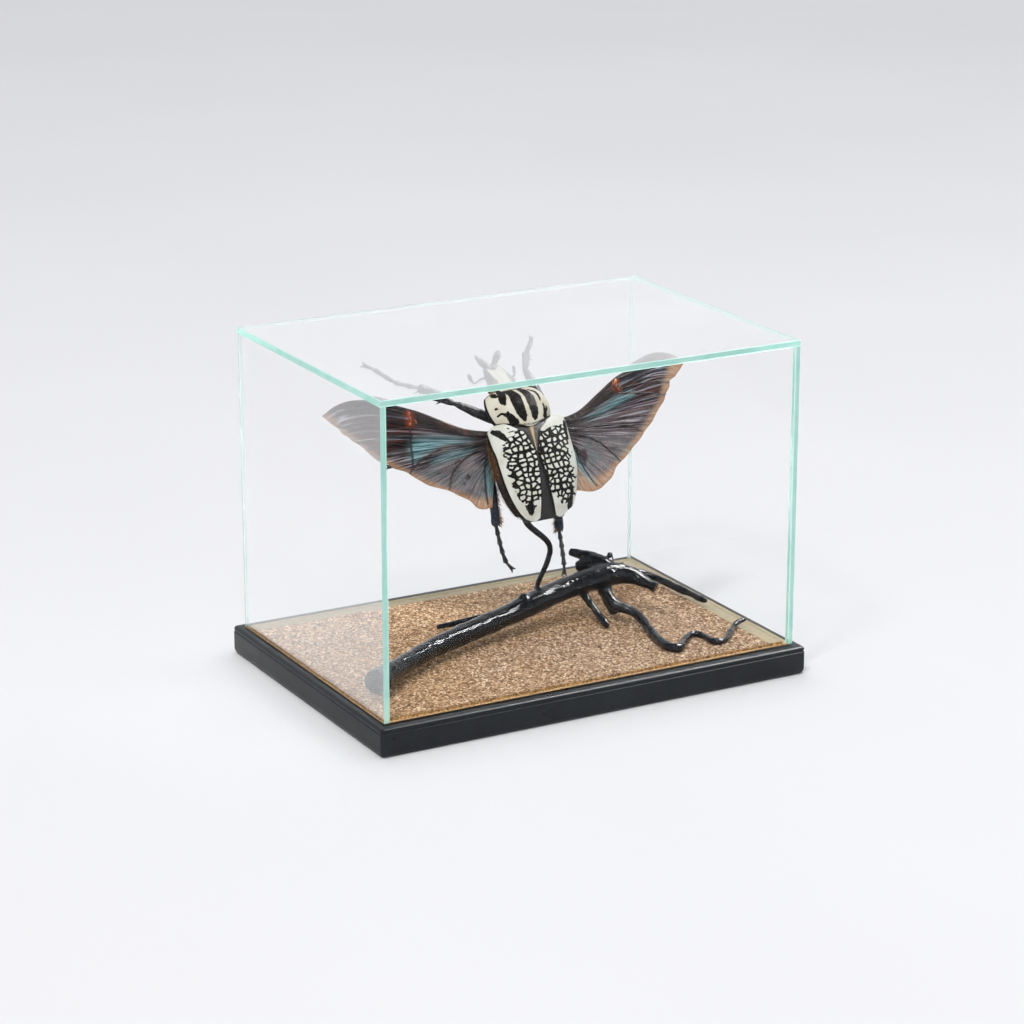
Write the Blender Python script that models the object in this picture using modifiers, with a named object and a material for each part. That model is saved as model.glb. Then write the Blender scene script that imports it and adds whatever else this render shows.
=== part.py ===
# Goliath beetle, spread in flight on a wire above a lacquered branch, in a glass case on a black base.
# Frame: metres, +Z up, +X to the right along the case's front, +Y towards its back.
# Origin: the middle of the base's underside, on the table.
# The beetle is modelled in its own frame, in millimetres: X to its right, Y forward, Z up from its back.
import math

import bmesh
import bpy
from mathutils import Matrix, Vector

MM = 0.001
GAP = 0.3        # air left between neighbours, mm
PLATE_GAP = 0.4  # the same under the domed plates
TINY = 0.000001  # merging distance for meshes, m

# Base and case, mm
BASE_LENGTH = 250.0
BASE_DEPTH = 177.0
BASE_HEIGHT = 15.3
BASE_CORNER = 2.2
GLASS_LENGTH = 241.0
GLASS_DEPTH = 164.4
GLASS_HEIGHT = 165.2
PANE = 2.7
POCKET_DEPTH = 3.0       # recess in the base that holds the ground board
BOARD_RISE = 0.3         # top of the board above the base's rim
CORK_THICKNESS = 1.4
CORK_MARGIN = 9.5        # bare strip of board along the back and right panes

# The moulding's section: inset from the base's side and height, from the foot up to the rim
BASE_PROFILE = (
    (2.9, 0.0), (1.3, 0.5), (0.35, 1.6), (0.0, 3.2), (0.0, 11.4), (0.1, 12.1), (0.4, 12.45),
    (0.45, 12.75), (0.25, 13.1), (0.2, 13.7), (0.5, 14.5), (1.2, 15.1), (2.3, BASE_HEIGHT),
)

# The branch's centre line and radius, mm
BRANCH_PATH = (
    (-107.0, -50.4, 24.9, 6.6), (-98.0, -43.2, 25.2, 5.6), (-88.9, -36.8, 25.4, 5.0), (-72.0, -26.8, 25.5, 5.0),
    (-56.5, -18.8, 25.8, 5.2), (-40.0, -12.9, 26.9, 5.5), (-24.4, -8.6, 28.0, 5.7), (-11.0, -5.6, 29.6, 5.8),
    (2.5, -3.2, 31.8, 6.2), (14.0, -1.4, 33.9, 6.4), (25.8, 0.2, 35.8, 6.0), (38.5, 1.0, 38.0, 6.1),
    (51.2, 1.1, 39.6, 6.6), (60.0, 0.4, 40.2, 6.3), (66.5, -2.6, 39.6, 5.2), (71.3, -8.3, 37.6, 3.7),
    (74.4, -12.2, 35.6, 3.0), (76.8, -15.4, 34.2, 3.3),
)
# Side shoots that are one piece with the branch, each path with its radii, mm
BRANCH_SHOOTS = {
    "upper": ((58.5, 1.2, 42.3, 4.4), (55.0, 7.9, 45.4, 4.6), (50.8, 14.7, 47.4, 3.4), (44.6, 21.9, 49.0, 2.3)),
    "knuckle": ((54.0, 4.5, 43.5, 3.4), (49.5, 10.8, 43.6, 3.2), (45.2, 15.2, 42.6, 2.6)),
    "upright": ((59.0, 2.2, 43.3, 2.2), (60.0, 4.6, 47.0, 1.9), (60.6, 6.5, 50.2, 1.5)),
    "thorn": ((62.8, -3.0, 43.0, 1.4), (63.8, -2.0, 45.2, 0.9), (64.6, -1.2, 47.0, 0.35)),
}
# Twigs that lie on the cork or lean on it, mm: centre line and radius, root first
TWIG_PATHS = {
    "twig_drop": ((52.6, -0.4, 36.0, 4.0), (54.2, -1.4, 30.0, 3.9), (55.8, -3.0, 25.0, 3.6), (55.6, -7.6, 20.9, 3.1)),
    "twig_short": (
        (38.5, 2.0, 36.0, 2.7), (41.2, -0.8, 31.0, 2.3), (43.9, -7.2, 24.6, 2.1), (44.6, -15.6, 20.2, 1.9),
        (44.8, -19.4, 18.9, 1.3),
    ),
    "twig_long": (
        (53.0, -3.0, 31.5, 3.2), (53.9, -10.2, 27.0, 3.2), (59.0, -15.6, 25.0, 2.8), (61.9, -22.0, 22.8, 2.6),
        (60.4, -33.0, 20.8, 2.5), (57.4, -46.0, 19.9, 2.4), (55.6, -58.0, 19.6, 2.3), (55.6, -65.2, 19.5, 2.3),
        (60.2, -66.2, 19.5, 2.2), (68.0, -58.4, 19.3, 2.0), (75.4, -52.0, 19.1, 1.8), (80.0, -52.6, 19.0, 1.7),
        (81.4, -58.6, 18.9, 1.6), (81.2, -65.4, 18.9, 1.6), (84.6, -68.2, 18.9, 1.6), (90.6, -64.6, 18.9, 1.5),
        (97.4, -57.4, 19.1, 1.5), (103.4, -51.8, 19.6, 1.5), (108.6, -49.4, 20.1, 1.2), (112.4, -48.6, 20.3, 1.0),
    ),
    "twig_back": (
        (4.0, 1.6, 31.0, 2.2), (0.5, 6.5, 28.2, 2.0), (-7.0, 13.4, 24.6, 1.9), (-20.2, 19.0, 21.2, 1.9),
        (-33.0, 21.6, 19.8, 1.7), (-36.6, 22.2, 19.4, 1.2),
    ),
    "twig_rear": (
        (61.0, 5.0, 37.0, 2.2), (70.0, 14.0, 33.0, 2.0), (82.0, 26.0, 29.5, 2.1), (93.3, 31.0, 26.3, 2.6),
        (101.5, 24.0, 23.3, 2.5), (107.0, 6.5, 21.3, 2.2), (109.6, -8.0, 20.3, 1.7), (110.4, -14.0, 20.0, 1.0),
    ),
}
WIRE_PATH = (
    (3.6, -2.4, 83.0), (3.9, -2.3, 79.5), (6.2, -2.4, 76.2), (10.4, -2.7, 72.2), (14.6, -2.8, 68.4),
    (17.6, -2.6, 64.8), (18.8, -2.2, 61.2), (18.5, -1.6, 57.6), (17.4, -0.9, 53.0), (15.8, 0.2, 48.4),
    (14.3, 1.4, 43.9), (13.3, 2.0, 40.0), (13.0, 2.0, 36.5),
)
WIRE_RADIUS = 1.8
WIRE_WAIST = 1.35
WIRE_FOOT = 2.1

# The beetle's place and attitude in the case
BEETLE_ORIGIN = (7.9, 3.8, 125.8)     # middle of the body where pronotum and wing cases meet, mm
BEETLE_TURN = -11.0                   # its back faces a little to the left of the front, degrees
BEETLE_RISE = 68.0                    # its length stands this far up from level, degrees
BEETLE_LEAN = 5.0                     # and leans to its left, degrees

# Wing cases (elytra), mm
ELYTRON_SHELL = 1.2
CASE_CROWN = ((8.0, 5.6), (4.0, 8.4), (0.0, 9.6), (-12.0, 10.4), (-24.0, 9.8), (-34.0, 8.0), (-41.0, 5.6),
              (-45.5, 3.2), (-49.0, 1.8))
CASE_SIDE = ((8.0, 20.4), (1.0, 22.0), (-6.0, 22.5), (-14.0, 22.4), (-22.0, 22.1), (-30.0, 20.6), (-37.0, 18.3),
             (-43.0, 15.0), (-49.0, 10.5))
CASE_INNER = ((8.0, 8.6), (0.0, 4.7), (-4.0, 3.2), (-12.0, 0.45), (-20.0, 0.8), (-30.0, 2.0), (-46.0, 4.0))

# Pronotum, mm, in its own frame at the middle of its rear edge
PRONOTUM_PIVOT = (0.2, 2.2, -0.6)
PRONOTUM_TURN = 7.0
PRONOTUM_PITCH = -19.7
PRONOTUM_ROLL = 9.0
PRONOTUM_SHELL = 2.0
PRONOTUM_SIDE = ((-3.0, 12.4), (1.0, 14.8), (5.0, 16.8), (10.0, 17.8), (14.0, 17.4), (18.0, 15.6), (22.0, 12.6),
                 (25.0, 9.6))
PRONOTUM_CROWN = ((-3.0, 7.6), (1.0, 9.0), (6.0, 10.4), (10.0, 10.8), (14.0, 9.9), (17.5, 8.2), (21.0, 5.4),
                  (24.0, 2.6))

# Head, mm, in its own frame at the middle of the neck
HEAD_PIVOT = (-1.7, 21.4, -0.8)
HEAD_TURN = 3.7
HEAD_PITCH = -12.8
HEAD_ROLL = 4.3

# Antennae, mm, in the head's frame: centre line and radius from the cheek to the club's tip
ANTENNA_PATHS = {
    "left": ((-5.6, 12.4, -1.5, 0.75), (-8.2, 12.3, -1.6, 0.6), (-10.6, 11.6, -1.6, 0.5), (-12.8, 10.8, -1.6, 0.5),
             (-13.8, 11.8, -1.6, 0.7), (-13.9, 13.6, -1.6, 1.0), (-13.6, 15.6, -1.6, 0.9), (-13.4, 17.3, -1.6, 0.4)),
    "right": ((5.4, 10.8, -1.5, 0.75), (7.6, 10.2, -1.6, 0.6), (9.4, 9.2, -1.6, 0.5), (10.8, 9.0, -1.6, 0.55),
              (12.0, 10.4, -1.6, 0.85), (13.0, 12.4, -1.6, 1.0), (13.8, 14.2, -1.6, 0.8), (14.2, 15.4, -1.6, 0.4)),
}

# Hind wings, mm, in a plane of their own at the beetle's side: distance out from the midline, and forward
WING_ROOT_FRONT = (18.7, 3.2)
WING_ROOT_REAR = (18.7, -9.0)
WING_LEAD = {
    "left": ((18.7, 3.2), (31.7, 7.3), (42.6, 13.7), (53.8, 20.8), (65.3, 26.6), (74.3, 31.0), (84.5, 33.1),
             (92.9, 31.9), (100.0, 28.2)),
    "right": ((18.7, 3.2), (31.1, 5.8), (44.1, 13.1), (56.3, 20.1), (66.0, 23.6), (75.2, 26.7), (83.5, 28.2),
              (92.0, 26.6), (100.3, 22.0)),
}
WING_MARGIN = {
    "left": ((100.0, 28.2), (93.2, 19.7), (89.7, 15.1), (85.4, 10.4), (76.6, -0.3), (71.5, -5.3), (64.2, -9.9),
             (58.0, -16.2), (46.6, -22.4), (38.0, -28.6), (31.6, -35.0), (23.5, -35.0)),
    "right": ((100.3, 22.0), (95.0, 17.0), (90.4, 14.3), (87.2, 9.2), (82.5, 3.1), (73.1, -6.2), (66.6, -11.8),
              (57.0, -19.5), (47.8, -26.0), (40.7, -33.1), (31.9, -36.8), (21.6, -34.8)),
}
WING_DROP = 0.2          # the wing falls this much for each mm outwards
WING_THICKNESS = 0.5
VEIN_RISE = 0.3
VEIN_HALF = 0.42
WING_STEPS = 11

# Legs, mm: hip, knee, ankle, then the way of the foot to its claws
LEG_JOINTS = {
    "fore_left": ((-8.6, 6.9, -9.5), (-32.2, 21.0, -6.6), (-51.3, 30.9, -6.4),
                  (-63.8, 36.3, -6.4), (-71.1, 43.0, -6.3), (-77.8, 47.5, -6.3)),
    "fore_right": ((15.4, 14.0, -10.0), (11.2, 31.6, -17.0), (17.6, 40.6, -29.6),
                   (21.0, 44.2, -34.4), (24.4, 47.2, -38.6), (26.4, 49.8, -41.8)),
    "mid_left": ((-8.4, -5.1, -15.0), (-31.9, -10.9, -18.0), (-51.9, -6.9, -20.0),
                 (-60.0, -4.8, -20.6), (-66.6, -4.2, -20.8), (-71.6, -3.6, -20.6)),
    "mid_right": ((8.6, -4.9, -15.0), (31.1, -9.1, -18.0), (49.0, -2.4, -20.5),
                  (57.0, 1.7, -21.0), (62.9, 5.7, -21.0), (67.9, 8.2, -20.6)),
    "hind_left": ((-7.7, -24.1, -14.5), (-20.8, -15.8, -9.4), (-23.5, -44.7, -10.0),
                  (-23.0, -55.4, -11.0), (-21.5, -64.7, -12.0), (-18.8, -68.6, -12.2)),
    "hind_right": ((8.3, -23.9, -15.5), (17.8, -21.8, -18.4), (11.8, -53.3, -15.6),
                   (11.4, -60.4, -15.2), (10.7, -69.9, -15.0), (9.7, -76.0, -15.0)),
}
# Half widths of femur and tibia, mm, and how many spurs the tibia carries
LEG_SIZES = {
    "fore": {"femur": 2.5, "tibia": 2.1, "spurs": 3, "spur_length": 2.4, "outward": True},
    "mid": {"femur": 2.4, "tibia": 1.9, "spurs": 4, "spur_length": 2.2, "outward": False},
    "hind": {"femur": 2.8, "tibia": 2.1, "spurs": 9, "spur_length": 3.2, "outward": False},
}

MATERIALS = {
    "lacquer_black": ((0.012, 0.013, 0.015), 0.28, 0.0),
    "cork": ((0.52, 0.33, 0.19), 0.9, 0.0),
    "board_beige": ((0.55, 0.47, 0.32), 0.7, 0.0),
    "case_glass": ((0.78, 0.92, 0.88), 0.03, 0.0),
    "branch_black": ((0.01, 0.011, 0.013), 0.15, 0.0),
    "wire_black": ((0.014, 0.014, 0.016), 0.22, 0.0),
    "shell_cream": ((0.78, 0.75, 0.62), 0.5, 0.0),
    "shell_black": ((0.012, 0.012, 0.012), 0.35, 0.0),
    "head_white": ((0.72, 0.7, 0.62), 0.5, 0.0),
    "horn_black": ((0.02, 0.018, 0.018), 0.25, 0.0),
    "eye_brown": ((0.05, 0.02, 0.01), 0.12, 0.0),
    "wing_smoke": ((0.16, 0.1, 0.1), 0.25, 0.0),
    "leg_black": ((0.015, 0.016, 0.02), 0.3, 0.0),
}


def material(name):
    """The named finish, made once."""
    found = bpy.data.materials.get(name)
    if found:
        return found
    colour, roughness, metallic = MATERIALS[name]
    made = bpy.data.materials.new(name)
    made.use_nodes = True
    shader = made.node_tree.nodes["Principled BSDF"]
    shader.inputs["Base Color"].default_value = (*colour, 1.0)
    shader.inputs["Roughness"].default_value = roughness
    shader.inputs["Metallic"].default_value = metallic
    return made


def new_object(name, mesh, finish, parent=None):
    """Put a mesh in the model as one named part."""
    made = bpy.data.objects.new(name, mesh)
    parts.objects.link(made)
    mesh.materials.clear()
    mesh.materials.append(material(finish))
    made.parent = parent
    return made


def new_frame(name, location, turns, parent=None):
    """An empty that carries parts: location in mm, then its turns in degrees, the outermost first."""
    empty = bpy.data.objects.new(name, None)
    guides.objects.link(empty)
    turned = Matrix.Identity(4)
    for angle, axis in turns:
        turned = turned @ Matrix.Rotation(math.radians(angle), 4, axis)
    empty.parent = parent
    empty.matrix_local = Matrix.Translation(Vector(location) * MM) @ turned
    empty.hide_render = True
    return empty


def read_curve(table, position):
    """Read a smooth value from pairs of position and value, whatever way they run."""
    pairs = sorted(table)
    places = [pair[0] for pair in pairs]
    values = [pair[1] for pair in pairs]
    if position <= places[0]:
        return values[0]
    if position >= places[-1]:
        return values[-1]
    upper = next(index for index, place in enumerate(places) if place >= position)
    lower = upper - 1
    before = max(lower - 1, 0)
    after = min(upper + 1, len(pairs) - 1)
    span = places[upper] - places[lower]
    along = (position - places[lower]) / span
    slope_in = (values[upper] - values[before]) / (places[upper] - places[before]) * span
    slope_out = (values[after] - values[lower]) / (places[after] - places[lower]) * span
    squared = along * along
    cubed = squared * along
    return ((2 * cubed - 3 * squared + 1) * values[lower] + (cubed - 2 * squared + along) * slope_in
            + (3 * squared - 2 * cubed) * values[upper] + (cubed - squared) * slope_out)


def loft(name, rings, finish, parent=None, close_start=True, close_end=True):
    """Skin a row of rings that have the same number of points, in mm, with flat ends."""
    work = bmesh.new()
    rows = [[work.verts.new(Vector(point) * MM) for point in ring] for ring in rings]
    count = len(rings[0])
    for first, second in zip(rows, rows[1:]):
        for index in range(count):
            after = (index + 1) % count
            work.faces.new((first[index], first[after], second[after], second[index]))
    if close_start:
        work.faces.new(list(reversed(rows[0])))
    if close_end:
        work.faces.new(rows[-1])
    bmesh.ops.recalc_face_normals(work, faces=work.faces[:])
    mesh = bpy.data.meshes.new(name)
    work.to_mesh(mesh)
    work.free()
    return new_object(name, mesh, finish, parent)


def sheet(name, rows, thickness, finish, parent=None, offset=-1.0):
    """A curved plate: a grid of points in mm, given its thickness inwards by Solidify."""
    work = bmesh.new()
    grid = [[work.verts.new(Vector(point) * MM) for point in row] for row in rows]
    for first, second in zip(grid, grid[1:]):
        for index in range(len(first) - 1):
            corners = (first[index], first[index + 1], second[index + 1], second[index])
            work.faces.new(corners)
    bmesh.ops.triangulate(work, faces=work.faces[:], quad_method="FIXED")
    middle = grid[len(grid) // 2][len(grid[0]) // 2]
    work.normal_update()
    if middle.normal.z < 0:
        bmesh.ops.reverse_faces(work, faces=work.faces[:])
    mesh = bpy.data.meshes.new(name)
    work.to_mesh(mesh)
    work.free()
    made = new_object(name, mesh, finish, parent)
    wall = made.modifiers.new("wall", "SOLIDIFY")
    wall.thickness = thickness * MM
    wall.offset = offset
    return made


def settle(thing):
    """Apply a part's modifiers and keep its largest closed surface."""
    bpy.context.view_layer.update()
    evaluated = thing.evaluated_get(bpy.context.evaluated_depsgraph_get())
    mesh = bpy.data.meshes.new_from_object(evaluated)
    thing.modifiers.clear()
    work = bmesh.new()
    work.from_mesh(mesh)
    bmesh.ops.remove_doubles(work, verts=work.verts[:], dist=TINY)
    bmesh.ops.dissolve_degenerate(work, edges=work.edges[:], dist=TINY)
    bmesh.ops.triangulate(work, faces=work.faces[:], quad_method="BEAUTY", ngon_method="BEAUTY")
    left = set(work.verts)
    pieces = []
    while left:
        seed = next(iter(left))
        reached = {seed}
        front = [seed]
        while front:
            vertex = front.pop()
            for edge in vertex.link_edges:
                other = edge.other_vert(vertex)
                if other not in reached:
                    reached.add(other)
                    front.append(other)
        left -= reached
        pieces.append(reached)

    def volume(piece):
        total = 0.0
        for face in {face for vertex in piece for face in vertex.link_faces}:
            corners = [vertex.co for vertex in face.verts]
            for second, third in zip(corners[1:], corners[2:]):
                total += corners[0].dot(second.cross(third))
        return abs(total)

    pieces.sort(key=volume)
    for piece in pieces[:-1]:
        bmesh.ops.delete(work, geom=list(piece), context="VERTS")
    work.to_mesh(mesh)
    work.free()
    thing.data = mesh
    return thing


def combine(thing, others, operation, solver="EXACT"):
    """Join others to a part, or cut them out of it, and remove them."""
    for other in others:
        step = thing.modifiers.new(operation.lower(), "BOOLEAN")
        step.operation = operation
        step.solver = solver
        step.object = other
    settle(thing)
    for other in others:
        bpy.data.objects.remove(other)
    return thing


def grown(thing, distance=GAP):
    """A copy of a finished part, larger by a distance in mm on every side, to cut its neighbour with."""
    copy = thing.copy()
    copy.data = thing.data.copy()
    copy.name = thing.name + "_clearance"
    cutters.objects.link(copy)
    copy.hide_render = True
    copy.display_type = "WIRE"
    work = bmesh.new()
    work.from_mesh(copy.data)
    work.normal_update()
    moves = {vertex: vertex.normal * distance * MM * min(vertex.calc_shell_factor(), 1.6) for vertex in work.verts}
    for vertex, move in moves.items():
        vertex.co += move
    work.to_mesh(copy.data)
    work.free()
    return copy


def clear_of(thing, neighbours, distance=GAP, solver="EXACT"):
    """Cut a part back from its neighbours so that they meet face to face across the gap."""
    return combine(thing, [grown(neighbour, distance) for neighbour in neighbours], "DIFFERENCE", solver)


def tube(name, path, finish, sides=10, parent=None):
    """A round stem along points of x, y, z and radius in mm: a curve with filled caps, made a mesh and welded."""
    curve = bpy.data.curves.new(name + "_line", "CURVE")
    curve.dimensions = "3D"
    curve.bevel_depth = MM
    curve.bevel_resolution = sides // 2 - 2
    curve.use_fill_caps = True
    line = curve.splines.new("POLY")
    line.points.add(len(path) - 1)
    for point, (x, y, z, radius) in zip(line.points, path):
        point.co = (x * MM, y * MM, z * MM, 1.0)
        point.radius = radius
    carrier = bpy.data.objects.new(name + "_line", curve)
    guides.objects.link(carrier)
    carrier.parent = parent
    bpy.context.view_layer.update()
    evaluated = carrier.evaluated_get(bpy.context.evaluated_depsgraph_get())
    mesh = bpy.data.meshes.new_from_object(evaluated)
    work = bmesh.new()
    work.from_mesh(mesh)
    bmesh.ops.remove_doubles(work, verts=work.verts[:], dist=TINY)
    bmesh.ops.recalc_face_normals(work, faces=work.faces[:])
    work.to_mesh(mesh)
    work.free()
    bpy.data.objects.remove(carrier)
    return new_object(name, mesh, finish, parent)


def smooth_path(path, steps):
    """Points on a smooth line through the given ones, with their radii."""
    places = list(range(len(path)))
    tables = [list(zip(places, values)) for values in zip(*path)]
    count = (len(path) - 1) * steps
    return [tuple(read_curve(table, index / steps) for table in tables) for index in range(count + 1)]


def oval(centre, side, rise, half_side, half_rise, count, squareness=2.0):
    """A ring round a centre: two directions, two half sizes, and how square it is."""
    ring = []
    for index in range(count):
        angle = math.tau * index / count
        across = math.copysign(abs(math.cos(angle)) ** (2.0 / squareness), math.cos(angle))
        upward = math.copysign(abs(math.sin(angle)) ** (2.0 / squareness), math.sin(angle))
        ring.append(centre + side * (half_side * across) + rise * (half_rise * upward))
    return ring


def limb(name, stations, finish, parent, count=8, hint=(0.0, 0.0, 1.0)):
    """A leg piece: stations of point, half width and half height, round which ovals are skinned."""
    points = [Vector(station[0]) for station in stations]
    rings = []
    for index, (point, half_width, half_height) in enumerate(stations):
        ahead = points[min(index + 1, len(points) - 1)]
        behind = points[max(index - 1, 0)]
        forward = (ahead - behind).normalized()
        side = forward.cross(Vector(hint)).normalized()
        rise = side.cross(forward)
        rings.append(oval(Vector(point), side, rise, half_width, half_height, count))
    return loft(name, rings, finish, parent)


def spine(name, root, tip, radius, parent):
    """A short pointed spur of four sides, its root to be sunk in the leg."""
    root = Vector(root)
    tip = Vector(tip)
    forward = (tip - root).normalized()
    side = forward.orthogonal().normalized()
    rise = forward.cross(side)
    rings = [oval(root, side, rise, radius, radius, 4), oval(tip, side, rise, radius * 0.12, radius * 0.12, 4)]
    return loft(name, rings, "leg_black", parent)


# Start from an empty scene
for old in list(bpy.data.objects):
    bpy.data.objects.remove(old)

parts = bpy.data.collections.new("goliath_beetle_case")
bpy.context.scene.collection.children.link(parts)
cutters = bpy.data.collections.new("cutters")
bpy.context.scene.collection.children.link(cutters)
guides = bpy.data.collections.new("guides")
bpy.context.scene.collection.children.link(guides)


# Base, board, cork and glass

def rounded_rectangle(length, depth, corner, height, steps=4):
    """Points round a rectangle with rounded corners, centred on the origin, mm."""
    ring = []
    for quarter, (across, along) in enumerate(((1, 1), (-1, 1), (-1, -1), (1, -1))):
        centre_x = across * (length / 2 - corner)
        centre_y = along * (depth / 2 - corner)
        for step in range(steps + 1):
            angle = math.radians(90.0 * quarter + 90.0 * step / steps)
            ring.append((centre_x + corner * math.cos(angle), centre_y + corner * math.sin(angle), height))
    return ring


def build_base():
    """The moulded plinth, with a shallow pocket on top for the board."""
    rings = [rounded_rectangle(BASE_LENGTH - 2 * inset, BASE_DEPTH - 2 * inset, max(BASE_CORNER - inset, 0.4), height)
             for inset, height in BASE_PROFILE]
    pocket_length = GLASS_LENGTH - 2 * PANE
    pocket_depth = GLASS_DEPTH - 2 * PANE
    for height in (BASE_HEIGHT, BASE_HEIGHT - POCKET_DEPTH):
        rings.append(rounded_rectangle(pocket_length, pocket_depth, 0.4, height))
    loft("base_plinth", rings, "lacquer_black")


def block(name, low, high, finish):
    """A plain block between two corners, mm."""
    bpy.ops.mesh.primitive_cube_add(size=1.0)
    made = bpy.context.object
    for collection in list(made.users_collection):
        collection.objects.unlink(made)
    parts.objects.link(made)
    made.name = name
    made.data.name = name
    size = (Vector(high) - Vector(low)) * MM
    made.data.transform(Matrix.Diagonal((*size, 1.0)))
    made.location = (Vector(high) + Vector(low)) * 0.5 * MM
    made.data.materials.append(material(finish))
    return made


def build_ground():
    """The beige board in the base's pocket, and the sheet of cork granules glued on it."""
    half_x = GLASS_LENGTH / 2 - PANE - GAP
    half_y = GLASS_DEPTH / 2 - PANE - GAP
    board_top = BASE_HEIGHT + BOARD_RISE
    block("ground_board", (-half_x, -half_y, BASE_HEIGHT - POCKET_DEPTH + GAP), (half_x, half_y, board_top),
          "board_beige")
    cork_low = board_top + GAP
    block("ground_cork", (-half_x, -half_y, cork_low),
          (half_x - CORK_MARGIN, half_y - CORK_MARGIN, cork_low + CORK_THICKNESS - GAP), "cork")


def build_glass():
    """Five panes: the side panes run the full depth, and the top lies on all four."""
    half_x = GLASS_LENGTH / 2
    half_y = GLASS_DEPTH / 2
    low = BASE_HEIGHT + GAP
    top = BASE_HEIGHT + GLASS_HEIGHT
    wall_top = top - PANE - GAP
    inner = half_x - PANE - GAP
    block("glass_left", (-half_x, -half_y, low), (-half_x + PANE, half_y, wall_top), "case_glass")
    block("glass_right", (half_x - PANE, -half_y, low), (half_x, half_y, wall_top), "case_glass")
    block("glass_front", (-inner, -half_y, low), (inner, -half_y + PANE, wall_top), "case_glass")
    block("glass_back", (-inner, half_y - PANE, low), (inner, half_y, wall_top), "case_glass")
    block("glass_top", (-half_x, -half_y, top - PANE), (half_x, half_y, top), "case_glass")


# Branch, twigs and wire

def build_branch():
    """The lacquered branch with its stubs, and the twigs that reach the cork."""
    branch = tube("branch", smooth_path(BRANCH_PATH, 2), "branch_black", sides=12)
    shoots = [tube("branch_" + key, smooth_path(path, 2), "branch_black", sides=8)
              for key, path in BRANCH_SHOOTS.items()]
    combine(branch, shoots, "UNION")
    twigs = {}
    for name, path in TWIG_PATHS.items():
        twig = tube(name, smooth_path(path, 1), "branch_black", sides=8)
        earlier = [branch]
        if name == "twig_long":
            earlier.append(twigs["twig_drop"])
        twigs[name] = clear_of(twig, earlier)
    return branch


def build_wire(branch, abdomen):
    """The bent support wire, from under the abdomen to its flared foot on the branch."""
    path = []
    last = len(WIRE_PATH) - 1
    for index, point in enumerate(WIRE_PATH):
        waist = WIRE_RADIUS + (WIRE_WAIST - WIRE_RADIUS) * min(index / (last - 3), 1.0)
        radius = WIRE_FOOT if index >= last - 1 else waist
        path.append((*point, radius))
    wire = tube("support_wire", path, "wire_black", sides=10)
    clear_of(wire, [branch, abdomen])


# Body of the beetle

def case_height(x, y):
    """How high the wing cases' outer surface stands over the body's widest level."""
    outer = read_curve(CASE_SIDE, y)
    share = min(abs(x) / outer, 1.0)
    return read_curve(CASE_CROWN, y) * (1.0 - share ** 2.3) ** 0.6


def elytron_rows(side, rows=15, columns=9):
    """A grid over one wing case, from its shoulder to its tip and from the seam to its outer edge."""
    grid = []
    for row in range(rows):
        along = row / (rows - 1)
        line = []
        for column in range(columns):
            across = 1.0 - (1.0 - column / (columns - 1)) ** 1.25
            front = 6.2 * math.sin(math.pi * min(across, 0.5)) - 0.2 - 3.0 * (max(across - 0.6, 0.0) / 0.4) ** 4
            rear = -45.4 - 1.8 * math.sin(math.pi * min(across * 1.25, 1.0)) + 2.6 * across ** 3
            y = front + (rear - front) * along
            inner = read_curve(CASE_INNER, y)
            outer = read_curve(CASE_SIDE, y)
            x = inner + (outer - inner) * across
            line.append((side * x, y, case_height(x, y)))
        grid.append(line)
    return grid


def shell_ring(y, outer, height_at, clearance, half_width, depth, upper=14, lower=8):
    """A section of the body under a domed plate: the plate's own curve moved inwards, then a belly below it."""
    ring = []
    for index in range(upper + 1):
        angle = math.pi * index / upper
        x = outer * math.cos(angle)
        if index in (0, upper):
            ring.append((math.copysign(outer - clearance, x), y, 0.0))
            continue
        step = 0.02
        x_after = outer * math.cos(angle + step)
        x_before = outer * math.cos(angle - step)
        run = x_after - x_before
        climb = height_at(x_after) - height_at(x_before)
        length = math.hypot(run, climb)
        rise = height_at(x) - abs(run) / length * clearance
        ring.append((x - climb / length * clearance, y, max(rise, 0.0)))
    for index in range(lower + 1):
        angle = math.pi * (1.0 + index / lower)
        across = math.cos(angle)
        ring.append((half_width * math.copysign(abs(across) ** 0.85, across), y,
                     -1.0 - (depth - 1.0) * abs(math.sin(angle)) ** 0.9))
    return ring


def body_ring(y, half_width, top, depth, count=20):
    """A section across the body: domed above, fuller below."""
    ring = []
    for index in range(count):
        angle = math.tau * index / count
        across = math.cos(angle)
        lift = math.sin(angle)
        height = top * lift ** 0.9 if lift > 0 else depth * (-lift) ** 0.9
        ring.append((half_width * math.copysign(abs(across) ** 0.85, across), y, height))
    return ring


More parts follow.
